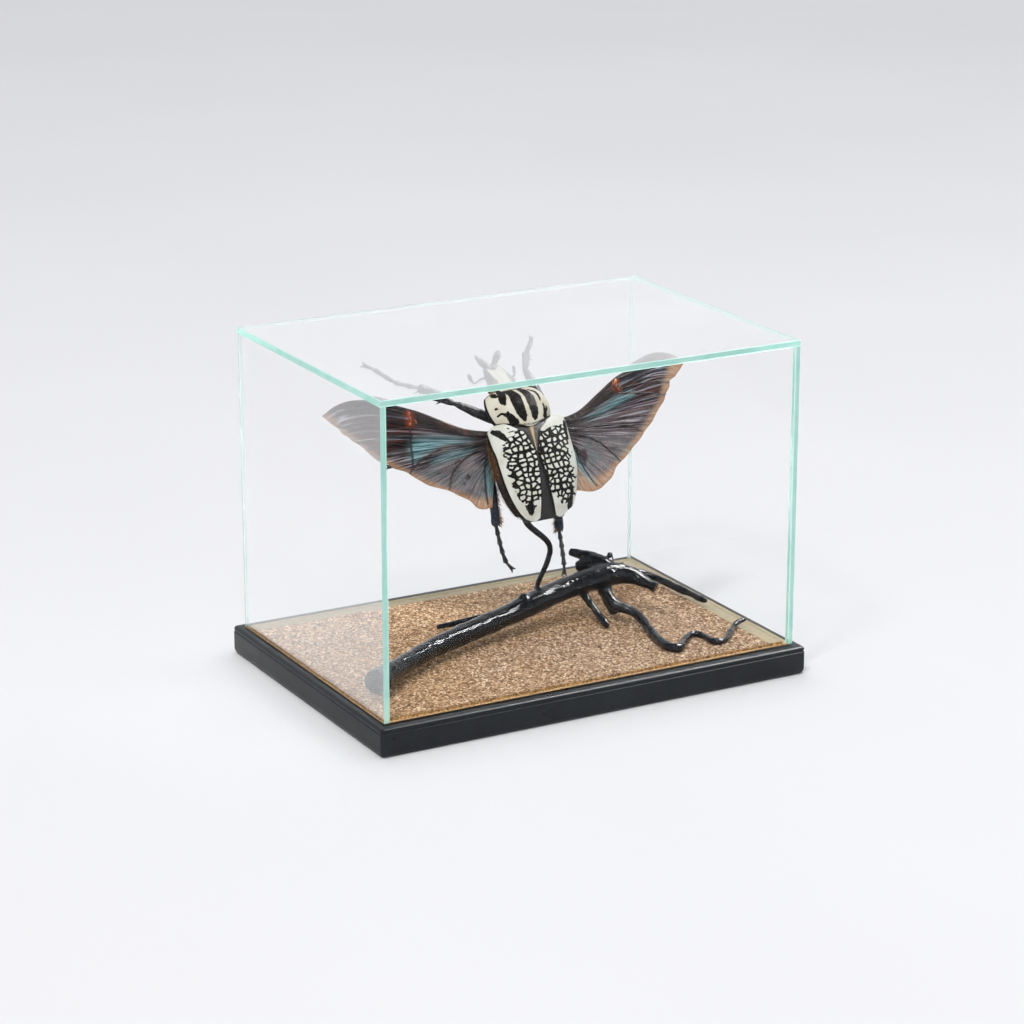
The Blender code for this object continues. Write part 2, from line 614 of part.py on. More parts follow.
def build_body(beetle):
    """Thorax and abdomen under the wing cases, the cases themselves and the scutellum between them."""
    elytra_rows = {"left": elytron_rows(-1), "right": elytron_rows(1)}
    elytra = {}
    for side, rows in elytra_rows.items():
        elytra[side] = settle(sheet("elytron_" + side, rows, ELYTRON_SHELL, "shell_cream", beetle))
    scutellum_rows = []
    for row in range(6):
        along = row / 5
        y = 1.6 - 12.6 * along
        half = max(4.2 * (1.0 - along) ** 0.9, 0.5)
        scutellum_rows.append([(half * spread, y, case_height(half * spread, y)) for spread in (-1, -0.5, 0, 0.5, 1)])
    scutellum = settle(sheet("scutellum", scutellum_rows, ELYTRON_SHELL, "shell_black", beetle))
    clear_of(scutellum, list(elytra.values()))

    def section(y, half_width, depth):
        slope = (read_curve(CASE_CROWN, y + 0.5) - read_curve(CASE_CROWN, y - 0.5)) * 0.8
        clearance = (ELYTRON_SHELL + PLATE_GAP) * math.hypot(1.0, slope)
        return shell_ring(y, read_curve(CASE_SIDE, y), lambda x: case_height(x, y), clearance, half_width, depth)

    thorax = loft("thorax", [section(*row) for row in (
        (3.4, 16.0, 12.0), (2.2, 18.3, 14.0), (-2.0, 18.3, 15.8), (-7.0, 18.3, 16.6), (-12.0, 18.3, 15.8),
        (-15.5, 18.3, 14.4))], "shell_black", beetle)
    abdomen = loft("abdomen", [section(*row) for row in (
        (-15.8, 18.3, 14.2), (-20.0, 18.6, 13.6), (-25.0, 18.2, 13.0), (-30.0, 17.2, 12.0), (-35.0, 15.6, 10.5),
        (-39.5, 13.7, 9.0), (-43.0, 11.4, 7.0), (-45.4, 9.2, 5.0), (-46.8, 6.0, 3.0))], "shell_black", beetle)
    return thorax, abdomen, elytra


def pronotum_height(x, y):
    """How high the pronotum's outer surface stands over its edge."""
    share = min(abs(x) / read_curve(PRONOTUM_SIDE, y), 1.0)
    return read_curve(PRONOTUM_CROWN, y) * (1.0 - share ** 2.4) ** 0.62


def build_pronotum(beetle):
    """The shield behind the head, and the prothorax that it covers."""
    frame = new_frame("pronotum_frame", PRONOTUM_PIVOT,
                      ((PRONOTUM_TURN, "Z"), (PRONOTUM_PITCH, "X"), (PRONOTUM_ROLL, "Y")), beetle)
    rows = []
    for row in range(13):
        along = row / 12
        line = []
        for column in range(13):
            across = column / 6 - 1.0
            across = math.copysign(1.0 - (1.0 - abs(across)) ** 1.3, across)
            rear = -2.6 + 7.2 * abs(across) ** 2.2
            front = 22.0 - 1.4 * (1.0 - abs(across) ** 2) - 4.0 * abs(across) ** 4
            y = rear + (front - rear) * along
            x = read_curve(PRONOTUM_SIDE, y) * across
            line.append((x, y, pronotum_height(x, y)))
        rows.append(line)
    pronotum = settle(sheet("pronotum", rows, PRONOTUM_SHELL, "shell_cream", frame))

    def section(y, half_width, depth):
        slope = (read_curve(PRONOTUM_CROWN, y + 0.5) - read_curve(PRONOTUM_CROWN, y - 0.5)) * 0.8
        clearance = (PRONOTUM_SHELL + PLATE_GAP) * math.hypot(1.0, slope)
        outer = read_curve(PRONOTUM_SIDE, y)
        return shell_ring(y, outer, lambda x: pronotum_height(x, y), clearance, min(half_width, outer - 2.6), depth)

    prothorax = loft("prothorax", [section(*row) for row in (
        (1.0, 11.0, 10.0), (4.0, 13.4, 11.6), (8.0, 14.6, 12.0), (12.0, 14.2, 10.8), (15.5, 12.6, 9.0),
        (18.2, 10.6, 7.2), (20.6, 8.4, 5.4))], "shell_black", frame)
    return frame, pronotum, prothorax


def build_head(frame, pronotum, prothorax):
    """Head with its forked horn, eyes and antennae."""
    head_frame = new_frame("head_frame", HEAD_PIVOT,
                           ((HEAD_TURN, "Z"), (HEAD_PITCH, "X"), (HEAD_ROLL, "Y")), frame)
    sections = ((-0.4, 5.4, 2.4, -3.2), (2.4, 6.9, 3.4, -4.2), (6.4, 7.3, 3.6, -4.4), (9.6, 6.9, 3.2, -3.8),
                (12.4, 6.3, 2.8, -3.0), (14.8, 5.6, 2.2, -2.2), (16.6, 4.6, 1.6, -1.6))
    head = loft("head", [body_ring(*row, count=16) for row in sections], "head_white", head_frame)
    eyes = {}
    for side, sign in (("left", -1), ("right", 1)):
        bpy.ops.mesh.primitive_uv_sphere_add(segments=14, ring_count=8, radius=2.1 * MM)
        eye = bpy.context.object
        eye.name = "eye_" + side
        for collection in list(eye.users_collection):
            collection.objects.unlink(eye)
        parts.objects.link(eye)
        eye.data.materials.append(material("eye_brown"))
        eye.data.transform(Matrix.Translation(Vector((sign * 6.7, 5.2, -0.4)) * MM))
        eye.parent = head_frame
        eyes[side] = eye
    clear_of(head, list(eyes.values()))
    clear_of(head, [pronotum, prothorax])

    pointed = (((-1.4, 17.3, 0.4), 2.0, 1.2), ((-3.3, 18.8, 1.3), 2.1, 1.1), ((-5.3, 20.9, 3.1), 1.7, 1.0),
               ((-6.8, 22.6, 4.7), 1.0, 0.8), ((-7.5, 23.5, 5.5), 0.35, 0.35))
    blunt = (((1.4, 17.3, 0.4), 1.7, 1.1), ((3.0, 18.6, 1.1), 1.4, 1.0), ((4.8, 20.2, 2.8), 1.6, 0.9),
             ((6.0, 21.4, 4.1), 1.7, 0.8), ((6.7, 22.1, 4.9), 1.1, 0.6))
    horn = limb("horn", [*reversed(pointed), *blunt], "horn_black", head_frame, count=8)
    stem = limb("horn_stem", [((0.0, 15.2, 0.0), 4.0, 1.4), ((0.0, 16.8, 0.1), 3.2, 1.3), ((0.0, 18.4, 0.5), 1.8, 1.0)],
                "horn_black", head_frame, count=8)
    combine(horn, [stem], "UNION")
    clear_of(horn, [head])

    for side, stalk in ANTENNA_PATHS.items():
        antenna = tube("antenna_" + side, smooth_path(stalk, 2), "horn_black", sides=8, parent=head_frame)
        clear_of(antenna, [head, eyes[side]])


# Hind wings

def wing_height(x, y):
    """Height of the membrane's middle layer at a place beside the body."""
    out = x - 18.0
    return -2.3 - WING_DROP * out + 2.2 * math.sin(math.pi * min(out / 80.0, 1.0)) + 0.01 * (y + 10.0)


def build_wing(side, sign, beetle):
    """One membrane, its veins raised in both faces, with the same triangles above and below."""
    margin = WING_MARGIN[side]
    last = len(margin) - 1
    front_root = Vector(WING_ROOT_FRONT)
    tip = Vector(margin[0])
    columns = []
    for index, end in enumerate(margin):
        root = front_root.lerp(Vector(WING_ROOT_REAR), index / last)
        line = []
        for step in range(WING_STEPS + 1):
            out = (step / WING_STEPS) ** 0.92
            chord = front_root.lerp(tip, out)
            bow = read_curve(WING_LEAD[side], chord.x) - chord.y
            place = root.lerp(Vector(end), out)
            place.y += bow * math.exp(-0.85 * index)
            line.append(place)
        columns.append(line)

    grid = []
    for index, line in enumerate(columns):
        flanks = []
        for step, place in enumerate(line):
            ahead = line[min(step + 1, WING_STEPS)]
            behind = line[max(step - 1, 0)]
            along = (ahead - behind).normalized()
            flanks.append(Vector((along.y, -along.x)))
        for offset in (-VEIN_HALF, 0.0, VEIN_HALF):
            if (index == 0 and offset < 0) or (index == last and offset > 0):
                continue
            crest = offset == 0.0
            grid.append([(place + flank * offset, crest) for place, flank in zip(line, flanks)])
        if index < last:
            pleat = 0.7 if index % 2 else -0.7
            following = columns[index + 1]
            grid.append([((place + other) / 2, None, pleat * min(step / 3.0, 1.0))
                         for step, (place, other) in enumerate(zip(line, following))])

    work = bmesh.new()
    faces = {}
    for level in (1, -1):
        rows = []
        for line in grid:
            row = []
            for entry in line:
                place = entry[0]
                crest = entry[1]
                pleat = entry[2] if crest is None else 0.0
                half = WING_THICKNESS / 2 + (VEIN_RISE if crest else 0.0)
                height = wing_height(place.x, place.y) + pleat + level * half
                row.append(work.verts.new(Vector((sign * place.x, place.y, height)) * MM))
            rows.append(row)
        faces[level] = rows
    for level, rows in faces.items():
        for first, second in zip(rows, rows[1:]):
            for step in range(WING_STEPS):
                a, b, c, d = first[step], first[step + 1], second[step + 1], second[step]
                work.faces.new((a, b, c))
                work.faces.new((a, c, d))
    top = faces[1]
    under = faces[-1]
    rim_top = top[0] + [row[-1] for row in top[1:]] + list(reversed(top[-1]))[1:] + [row[0] for row in top[-2:0:-1]]
    rim_under = (under[0] + [row[-1] for row in under[1:]] + list(reversed(under[-1]))[1:]
                 + [row[0] for row in under[-2:0:-1]])
    for index in range(len(rim_top)):
        after = (index + 1) % len(rim_top)
        work.faces.new((rim_top[index], rim_top[after], rim_under[after], rim_under[index]))
    bmesh.ops.recalc_face_normals(work, faces=work.faces[:])
    mesh = bpy.data.meshes.new("hindwing_" + side)
    work.to_mesh(mesh)
    work.free()
    return new_object("hindwing_" + side, mesh, "wing_smoke", beetle)


# Legs

def build_leg(key, beetle, body):
    """Femur, tibia with its spurs, and the foot with two claws, each seated on the one before."""
    kind, side = key.split("_")
    sign = -1 if side == "left" else 1
    hip, knee, ankle, *foot = (Vector(joint) for joint in LEG_JOINTS[key])
    sizes = LEG_SIZES[kind]
    thick = sizes["femur"]
    femur = limb(kind + "_femur_" + side, [
        (hip, thick * 0.9, thick * 0.9), (hip.lerp(knee, 0.3), thick * 1.05, thick * 0.9),
        (hip.lerp(knee, 0.65), thick, thick * 0.8), (hip.lerp(knee, 0.93), thick * 0.72, thick * 0.62),
        (hip.lerp(knee, 1.02), thick * 0.45, thick * 0.4)], "leg_black", beetle)
    clear_of(femur, body)

    broad = sizes["tibia"]
    tibia = limb(kind + "_tibia_" + side, [
        (knee.lerp(ankle, -0.02), broad * 0.5, broad * 0.45), (knee.lerp(ankle, 0.12), broad * 0.8, broad * 0.62),
        (knee.lerp(ankle, 0.5), broad * 0.9, broad * 0.66), (knee.lerp(ankle, 0.86), broad * 1.1, broad * 0.72),
        (ankle, broad * 0.9, broad * 0.66)], "leg_black", beetle)
    along = (ankle - knee).normalized()
    flank = along.cross(Vector((0.0, 0.0, 1.0))).normalized()
    if flank.x * sign < 0:
        flank = -flank
    if not sizes["outward"]:
        flank = -flank
    spurs = []
    for index in range(sizes["spurs"]):
        place = 0.42 + 0.56 * index / (sizes["spurs"] - 1)
        root = knee.lerp(ankle, place) + flank * broad * 0.35
        lift = Vector((0.0, 0.0, 0.5 if index % 2 else -0.5))
        length = sizes["spur_length"] * (0.75 + 0.3 * place)
        spurs.append(spine("spur", root, root + (flank + along * 0.7 + lift * 0.5).normalized() * (length + broad * 0.5),
                           0.5, beetle))
    combine(tibia, spurs, "UNION", "MANIFOLD")
    clear_of(tibia, [femur])

    way = [ankle, *foot]
    lengths = [(second - first).length for first, second in zip(way, way[1:])]
    stations = []
    segments = 5
    for index in range(segments * 2 + 1):
        reach = sum(lengths) * index / (segments * 2)
        part = 0
        while part < len(lengths) - 1 and reach > lengths[part]:
            reach -= lengths[part]
            part += 1
        place = way[part].lerp(way[part + 1], min(reach / lengths[part], 1.0))
        radius = 0.72 if index % 2 == 0 else 1.12
        if index == segments * 2:
            radius = 0.8
        stations.append((place, radius, radius))
    tarsus = limb(kind + "_tarsus_" + side, stations, "leg_black", beetle, count=6)
    end = way[-1]
    ahead = (way[-1] - way[-2]).normalized()
    across = ahead.cross(Vector((0.0, 0.0, 1.0))).normalized()
    claws = []
    for turn in (-1, 1):
        bend = end + ahead * 1.6 + across * turn * 1.6
        point = bend + ahead * 0.9 + across * turn * 0.5 - Vector((0.0, 0.0, 1.7))
        claws.append(limb("claw", [(end - ahead * 0.8, 0.5, 0.5), (bend, 0.42, 0.42), (point, 0.12, 0.12)],
                          "leg_black", beetle, count=5))
    combine(tarsus, claws, "UNION")
    clear_of(tarsus, [tibia])


build_base()
build_ground()
build_glass()
branch_object = build_branch()

beetle_frame = new_frame("beetle_frame", BEETLE_ORIGIN, ((BEETLE_TURN, "Z"), (BEETLE_RISE, "X"), (BEETLE_LEAN, "Z")))
thorax_object, abdomen_object, elytra_objects = build_body(beetle_frame)
pronotum_frame, pronotum_object, prothorax_object = build_pronotum(beetle_frame)
clear_of(prothorax_object, [thorax_object])
clear_of(pronotum_object, [*elytra_objects.values(), thorax_object])
build_head(pronotum_frame, pronotum_object, prothorax_object)

build_wing("left", -1, beetle_frame)
build_wing("right", 1, beetle_frame)
for leg_key in LEG_JOINTS:
    trunk = [prothorax_object] if leg_key.startswith("fore") else [thorax_object, abdomen_object]
    build_leg(leg_key, beetle_frame, trunk)
build_wire(branch_object, abdomen_object)
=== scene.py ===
import math
import random

import bmesh
import bpy
from mathutils import Matrix, Vector, noise


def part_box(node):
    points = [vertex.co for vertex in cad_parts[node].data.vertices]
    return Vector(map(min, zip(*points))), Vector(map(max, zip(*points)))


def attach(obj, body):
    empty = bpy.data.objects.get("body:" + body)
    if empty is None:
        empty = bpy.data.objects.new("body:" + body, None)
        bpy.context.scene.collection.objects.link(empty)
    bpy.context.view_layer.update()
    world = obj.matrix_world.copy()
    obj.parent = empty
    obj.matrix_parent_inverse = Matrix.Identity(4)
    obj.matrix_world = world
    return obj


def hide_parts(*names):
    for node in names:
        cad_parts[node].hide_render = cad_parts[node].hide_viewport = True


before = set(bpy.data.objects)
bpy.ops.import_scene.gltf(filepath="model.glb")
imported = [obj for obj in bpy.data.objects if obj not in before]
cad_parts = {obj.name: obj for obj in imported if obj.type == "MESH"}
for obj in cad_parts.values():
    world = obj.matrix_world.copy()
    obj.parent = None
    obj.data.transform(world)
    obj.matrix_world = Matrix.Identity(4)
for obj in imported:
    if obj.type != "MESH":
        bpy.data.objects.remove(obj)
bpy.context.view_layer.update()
mm = 0.001
print("frame loaded")


# small tools

def readCurve(table, position):  # smooth value between pairs of place and value
    places, values = zip(*sorted(table, key=lambda pair: pair[0]))
    if position <= places[0]:
        return values[0]
    if position >= places[-1]:
        return values[-1]
    upper = next(index for index, place in enumerate(places) if place >= position)
    lower = upper - 1
    before = max(lower - 1, 0)
    after = min(upper + 1, len(places) - 1)
    span = places[upper] - places[lower]
    along = (position - places[lower]) / span
    slopeIn = (values[upper] - values[before]) / (places[upper] - places[before]) * span
    slopeOut = (values[after] - values[lower]) / (places[after] - places[lower]) * span
    squared = along * along
    cubed = squared * along
    return ((2 * cubed - 3 * squared + 1) * values[lower] + (cubed - 2 * squared + along) * slopeIn
            + (3 * squared - 2 * cubed) * values[upper] + (cubed - squared) * slopeOut)


def smoothPath(path, steps):  # points on a smooth line through the given ones
    tables = [list(zip(range(len(path)), column)) for column in zip(*path)]
    count = (len(path) - 1) * steps
    return [tuple(readCurve(table, index / steps) for table in tables) for index in range(count + 1)]


def smoothStep(low, high, value):
    share = min(max((value - low) / (high - low), 0.0), 1.0)
    return share * share * (3 - 2 * share)


def turned(location, turns, parent=None):  # a frame: place in mm, then turns in degrees, outermost first
    made = Matrix.Translation(Vector(location))
    for angle, axis in turns:
        made = made @ Matrix.Rotation(math.radians(angle), 4, axis)
    return parent @ made if parent else made


def newObject(name, work):
    mesh = bpy.data.meshes.new(name)
    work.to_mesh(mesh)
    work.free()
    made = bpy.data.objects.new(name, mesh)
    bpy.context.scene.collection.objects.link(made)
    return made


def shade(mesh, smooth):
    mesh.polygons.foreach_set("use_smooth", [smooth] * len(mesh.polygons))


def meshObject(name, work, place=None, angle=None):
    # bmesh in mm to a piece in metres, with edges above the angle sharp
    work.transform((Matrix.Scale(mm, 4) @ place) if place else Matrix.Scale(mm, 4))
    made = newObject(name, work)
    shade(made.data, True)
    if angle:
        made.data.set_sharp_from_angle(angle=math.radians(angle))
    return made


def settled(piece, smooth=None):  # the modifiers' result as the piece's own mesh
    bpy.context.view_layer.update()
    mesh = bpy.data.meshes.new_from_object(piece.evaluated_get(bpy.context.evaluated_depsgraph_get()))
    piece.modifiers.clear()
    piece.data = mesh
    if smooth is not None:
        shade(mesh, smooth)
    return piece


def skinRings(work, rings):  # a closed skin over rings of points
    rows = [[work.verts.new(point) for point in ring] for ring in rings]
    faces = []
    for first, second in zip(rows, rows[1:]):
        for index in range(len(first)):
            faces.append(work.faces.new((first[index - 1], first[index], second[index], second[index - 1])))
    faces += [work.faces.new(rows[0][::-1]), work.faces.new(rows[-1])]
    bmesh.ops.recalc_face_normals(work, faces=faces)
    return rows


def ringAt(centre, side, rise, radius, sides):
    return [centre + side * (radius * math.cos(math.tau * k / sides)) + rise
            * (radius * math.sin(math.tau * k / sides))
            for k in range(sides)]


def flankOf(direction):  # level, square to a direction
    return direction.cross(Vector((0.0, 0.0, 1.0))).normalized()


def tubeInto(work, path, sides=16, steps=4, roundEnds=True):
    # a round stem along points of x, y, z and radius
    points = smoothPath(path, steps) if steps > 1 else list(path)
    centres = [Vector(point[:3]) for point in points]
    radii = [point[3] for point in points]
    last = len(centres) - 1
    rings = []
    side = None
    for index, centre in enumerate(centres):
        ahead = (centres[min(index + 1, last)] - centres[max(index - 1, 0)]).normalized()
        side = side or ahead.orthogonal().normalized()
        side = (side - ahead * side.dot(ahead)).normalized()
        rise = ahead.cross(side)
        rings.append(ringAt(centre, side, rise, radii[index], sides))
        if roundEnds and index in (0, last):
            sign = 1 if index else -1
            cap = [ringAt(centre + ahead * sign * radii[index] * 0.6 * math.sqrt(1 - share * share), side,
                          rise,
                          radii[index] * share, sides) for share in (0.94, 0.75, 0.35)]
            rings = rings + cap if index else cap[::-1] + rings
    return skinRings(work, rings)


# shader tools

def feed(tree, socket, value):  # a link from another socket, or a plain value
    if isinstance(value, bpy.types.NodeSocket):
        tree.links.new(value, socket)
    else:
        socket.default_value = value


def node(tree, kind, inputs=None, **settings):
    made = tree.nodes.new(kind if kind.startswith(("Geometry", "Function")) else "ShaderNode" + kind)
    for key, value in settings.items():
        setattr(made, key, value)
    for key, value in (inputs or {}).items():
        feed(tree, made.inputs[key], value)
    return made


def newMaterial(name, **values):
    made = bpy.data.materials.new(name)
    made.use_nodes = True
    tree = made.node_tree
    shader = tree.nodes["Principled BSDF"]
    labels = {"colour": "Base Color", "roughness": "Roughness", "coat": "Coat Weight",
              "coatRoughness": "Coat Roughness",
              "transmission": "Transmission Weight", "ior": "IOR", "specular": "Specular IOR Level",
              "sheen": "Sheen Weight"}
    for key, value in values.items():
        shader.inputs[labels[key]].default_value = (*value, 1.0) if key == "colour" else value
    return made, tree, shader


def ramp(tree, value, *stops):
    made = node(tree, "ValToRGB", {"Fac": value})
    elements = made.color_ramp.elements
    elements.remove(elements[-1])
    elements[0].position = stops[0][0]
    elements[0].color = (*stops[0][1], 1.0)
    for place, colour in stops[1:]:
        elements.new(place).color = (*colour, 1.0)
    return made.outputs["Color"]


def mathNode(tree, operation, *values, clamp=False):
    return node(tree, "Math", dict(enumerate(values)), operation=operation, use_clamp=clamp).outputs[0]


def times(tree, first, second):
    return mathNode(tree, "MULTIPLY", first, second)


def addTimes(tree, value, factor, base):  # base plus factor times value
    return mathNode(tree, "MULTIPLY_ADD", value, factor, base)


def sway(tree, noisy, factor, base):  # base plus factor times a noise that swings round 0.5
    return addTimes(tree, mathNode(tree, "SUBTRACT", noisy, 0.5), factor, base)


def fit(tree, value, low, high, newLow=0.0, newHigh=1.0):
    # the range low to high made newLow to newHigh, clamped
    return node(tree, "MapRange", {"Value": value, "From Min": low, "From Max": high, "To Min": newLow,
                                   "To Max": newHigh}).outputs[0]


def stretch(tree, vector, scale, shift=(0.0, 0.0, 0.0)):
    return node(tree, "Mapping", {"Vector": vector, "Scale": scale, "Location": shift}).outputs[0]


def part(tree, vector, axis):
    return node(tree, "SeparateXYZ", {"Vector": vector}).outputs[axis]


def mixColour(tree, factor, *colours):
    first, second = ((*colour, 1.0) if isinstance(colour, tuple) else colour for colour in colours)
    return node(tree, "Mix", {0: factor, 6: first, 7: second}, data_type="RGBA").outputs[2]


def attribute(tree, name, output="Fac"):  # a value kept on the mesh; output "Vector" for a place
    return node(tree, "Attribute", attribute_name=name).outputs[output]


def objectPlace(tree):
    return node(tree, "TexCoord").outputs["Object"]


def noiseAt(tree, place, scale, detail=3.0, roughness=0.5):
    return node(tree, "TexNoise", {"Vector": place, "Scale": scale, "Detail": detail,
                                   "Roughness": roughness}).outputs["Fac"]


def cellsAt(tree, place, scale, feature="F1", **inputs):
    return node(tree, "TexVoronoi", {"Vector": place, "Scale": scale, **inputs}, feature=feature).outputs


def join(tree, socket, shader, label):
    tree.links.new(socket, shader.inputs[label])


def paint(tree, shader, value, *stops):  # a ramp as the shader's colour
    join(tree, ramp(tree, value, *stops), shader, "Base Color")


def bump(tree, shader, height, distance):
    relief = node(tree, "Bump", {"Height": height, "Distance": distance, "Strength": 1.0})
    join(tree, relief.outputs["Normal"], shader, "Normal")


def nodeGroup(name, inputs, outputs):  # an empty shader group with named sockets
    group = bpy.data.node_groups.new(name, "ShaderNodeTree")
    for label, kind, value in inputs:
        socket = group.interface.new_socket(label, in_out="INPUT", socket_type="NodeSocket" + kind)
        if value is not None:
            socket.default_value = value
    for label, kind in outputs:
        group.interface.new_socket(label, in_out="OUTPUT", socket_type="NodeSocket" + kind)
    return group, group.nodes.new("NodeGroupInput").outputs, group.nodes.new("NodeGroupOutput").inputs


def useGroup(tree, group, **inputs):
    return node(tree, "Group", inputs, node_tree=group).outputs


def buildFineDust():  # pale specks that settle on dark gloss
    group, given, made = nodeGroup("fineDust", (
        ("Place", "Vector", None), ("Colour", "Color", (0.01, 0.01, 0.01, 1)),
        ("Dust", "Color", (0.4, 0.38, 0.36, 1)), ("Amount", "Float", 0.1), ("Scale", "Float", 900.0)),
        (("Colour", "Color"), ("Mask", "Float")))
    cells = cellsAt(group, given["Place"], given["Scale"])["Distance"]
    patch = noiseAt(group, given["Place"], 60.0, 4.0)
    speck = mathNode(group, "LESS_THAN", cells, 0.17)
    mask = mathNode(group, "MULTIPLY", times(group, speck, patch), given["Amount"], clamp=True)
    group.links.new(mixColour(group, mask, given["Colour"], given["Dust"]), made["Colour"])
    group.links.new(mask, made["Mask"])
    return group


def buildLacquerSkin():  # the slow swell and pits of brushed lacquer
    group, given, made = nodeGroup("lacquerSkin", (
        ("Place", "Vector", None), ("Swell", "Float", 120.0), ("Pits", "Float", 900.0),
        ("Depth", "Float", 0.25)), (("Height", "Float"), ("Mottle", "Float")))
    swell = noiseAt(group, given["Place"], given["Swell"], 3.0)
    pits = noiseAt(group, given["Place"], given["Pits"], 2.0)
    group.links.new(addTimes(group, pits, given["Depth"], swell), made["Height"])
    group.links.new(swell, made["Mottle"])
    return group


def buildBrokenEdge():  # turns a distance in mm into a mask with a frayed edge
    group, given, made = nodeGroup("brokenEdge", (
        ("Place", "Vector", None), ("Distance", "Float", 0.0), ("Fray", "Float", 0.6),
        ("Scale", "Float", 900.0), ("Soft", "Float", 0.1)), (("Mask", "Float"),))
    coarse = noiseAt(group, given["Place"], given["Scale"], 4.0, 0.6)
    moved = sway(group, coarse, given["Fray"], given["Distance"])
    group.links.new(fit(group, moved, given["Soft"], times(group, given["Soft"], -1.0)), made["Mask"])
    return group


fineDust = buildFineDust()
lacquerSkin = buildLacquerSkin()
brokenEdge = buildBrokenEdge()


def frayed(tree, place, name, fray, scale, soft):  # the mask of a distance that is kept on the mesh
    return useGroup(tree, brokenEdge, Place=place, Distance=attribute(tree, name), Fray=fray, Scale=scale,
                    Soft=soft)["Mask"]


def dressGloss(tree, shader, skinValues, dustValues, patchScale, roughness, *stops):
    # mottled, dusty gloss; gives its height
    place = objectPlace(tree)
    skin = useGroup(tree, lacquerSkin, Place=place, **skinValues)
    dust = useGroup(tree, fineDust, Place=place, Colour=ramp(tree, skin["Mottle"], *stops), **dustValues)
    join(tree, dust["Colour"], shader, "Base Color")
    patch = noiseAt(tree, place, patchScale, 3.0)
    join(tree, fit(tree, patch, 0.35, 0.7, *roughness), shader, "Roughness")
    return skin["Height"]


def dress(piece, material):
    piece.data.materials.clear()  # this also sets the material index of all faces to zero
    piece.data.materials.append(material)


def finishPiece(piece, material, slotName, *nodes):  # material and body of a new piece; slotName is not used
    if material:
        dress(piece, material)
    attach(piece, "root")
    if nodes:
        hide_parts(*nodes)


# camera, floor and lights

view = {
    "place": (-0.7791, -1.3984, 0.5897), "down": 17.529, "turn": 29.035, "lens": 112.54, "sensor": 36.0,
    "near": 0.05,
    "floorColour": (0.8, 0.795, 0.81), "floorSize": 6000.0,
    "away": (0.463, 0.834, 0.3), "skyFront": (0.12, 0.125, 0.14), "skyBack": (0.87, 0.885, 0.91),
    "skyStrength": 1.0,
    "horizonShare": 0.85,
    "lamps": {  # place, where it points, width, height, watts, colour
        "keyLamp": ((-1.0, -0.7, 2.1), (0.0, 0.0, 0.1), 0.3, 0.3, 13.0, (1.0, 0.985, 0.96)),
        "fillLamp": ((1.7, -0.6, 1.5), (0.0, 0.0, 0.1), 0.22, 0.22, 4.0, (0.95, 0.975, 1.0)),
        "topLamp": ((0.1, 0.2, 2.3), (0.0, 0.0, 0.0), 0.3, 0.3, 6.0, (1.0, 1.0, 1.0)),
        "glintLamp": ((1.26, -0.17, 1.66), (0.0, 0.0, 0.05), 1.4, 1.1, 120.0, (1.0, 1.0, 1.0)),
    },
    "sunStrength": 1.2, "sunSpread": 26.0, "sunTurns": (28.0, -24.0),
}


def addToScene(name, data, place=(0.0, 0.0, 0.0)):
    made = bpy.data.objects.new(name, data)
    made.location = place
    bpy.context.scene.collection.objects.link(made)
    return made


def buildCamera():
    data = bpy.data.cameras.new("photoCamera")
    data.sensor_width = view["sensor"]
    data.lens = view["lens"]
    data.clip_start = view["near"]
    camera = addToScene("photoCamera", data, view["place"])
    camera.rotation_euler = (math.radians(90 - view["down"]), 0, math.radians(-view["turn"]))
    bpy.context.scene.camera = camera


def buildFloor():
    work = bmesh.new()
    bmesh.ops.create_grid(work, x_segments=2, y_segments=2, size=view["floorSize"])
    floor = meshObject("studioFloor", work)
    material, tree, shader = newMaterial("paleFloor", colour=view["floorColour"], roughness=0.75,
                                         specular=0.2)
    paint(tree, shader, noiseAt(tree, objectPlace(tree), 3.0, 2.0), (0.3, (0.79, 0.785, 0.8)),
          (0.7, (0.81, 0.805, 0.82)))
    dress(floor, material)


def buildSky():  # pale behind the case and near the horizon, dark above the camera
    world = bpy.data.worlds.new("studioSky")
    world.use_nodes = True
    tree = world.node_tree
    background = tree.nodes["Background"]
    direction = node(tree, "TexCoord").outputs["Generated"]
    away = node(tree, "VectorMath", {0: direction, 1: view["away"]}, operation="DOT_PRODUCT").outputs["Value"]
    behind = node(tree, "MapRange", {"Value": away, "From Min": 0.12, "From Max": 0.8},
                  interpolation_type="SMOOTHSTEP").outputs[0]
    low = fit(tree, part(tree, direction, "Z"), 0.55, 0.28, 0.0, view["horizonShare"])
    pale = mathNode(tree, "MAXIMUM", behind, low)
    join(tree, mixColour(tree, pale, view["skyFront"], view["skyBack"]), background, "Color")
    background.inputs["Strength"].default_value = view["skyStrength"]
    bpy.context.scene.world = world


def buildLamps():
    for name, (place, aim, width, height, power, colour) in view["lamps"].items():
        data = bpy.data.lights.new(name, "AREA")
        data.shape = "RECTANGLE"
        data.size, data.size_y = width, height
        data.energy = power
        data.color = colour
        lamp = addToScene(name, data, place)
        lamp.rotation_euler = (Vector(aim) - Vector(place)).to_track_quat("-Z", "Y").to_euler()
        # else the lid mirrors it from above
        lamp.visible_glossy = lamp.visible_transmission = name != "topLamp"
        lamp.visible_diffuse = name != "glintLamp"  # that one is a wide soft box for the highlights alone
    data = bpy.data.lights.new("softSun", "SUN")
    data.energy = view["sunStrength"]
    data.angle = math.radians(view["sunSpread"])
    sun = addToScene("softSun", data)
    sun.rotation_euler = (*(math.radians(turn) for turn in view["sunTurns"]), 0.0)
    sun.visible_glossy = False


buildCamera()
buildFloor()
buildSky()
buildLamps()
bpy.context.scene.view_settings.view_transform = "Standard"
print("studio ready")


# base and board

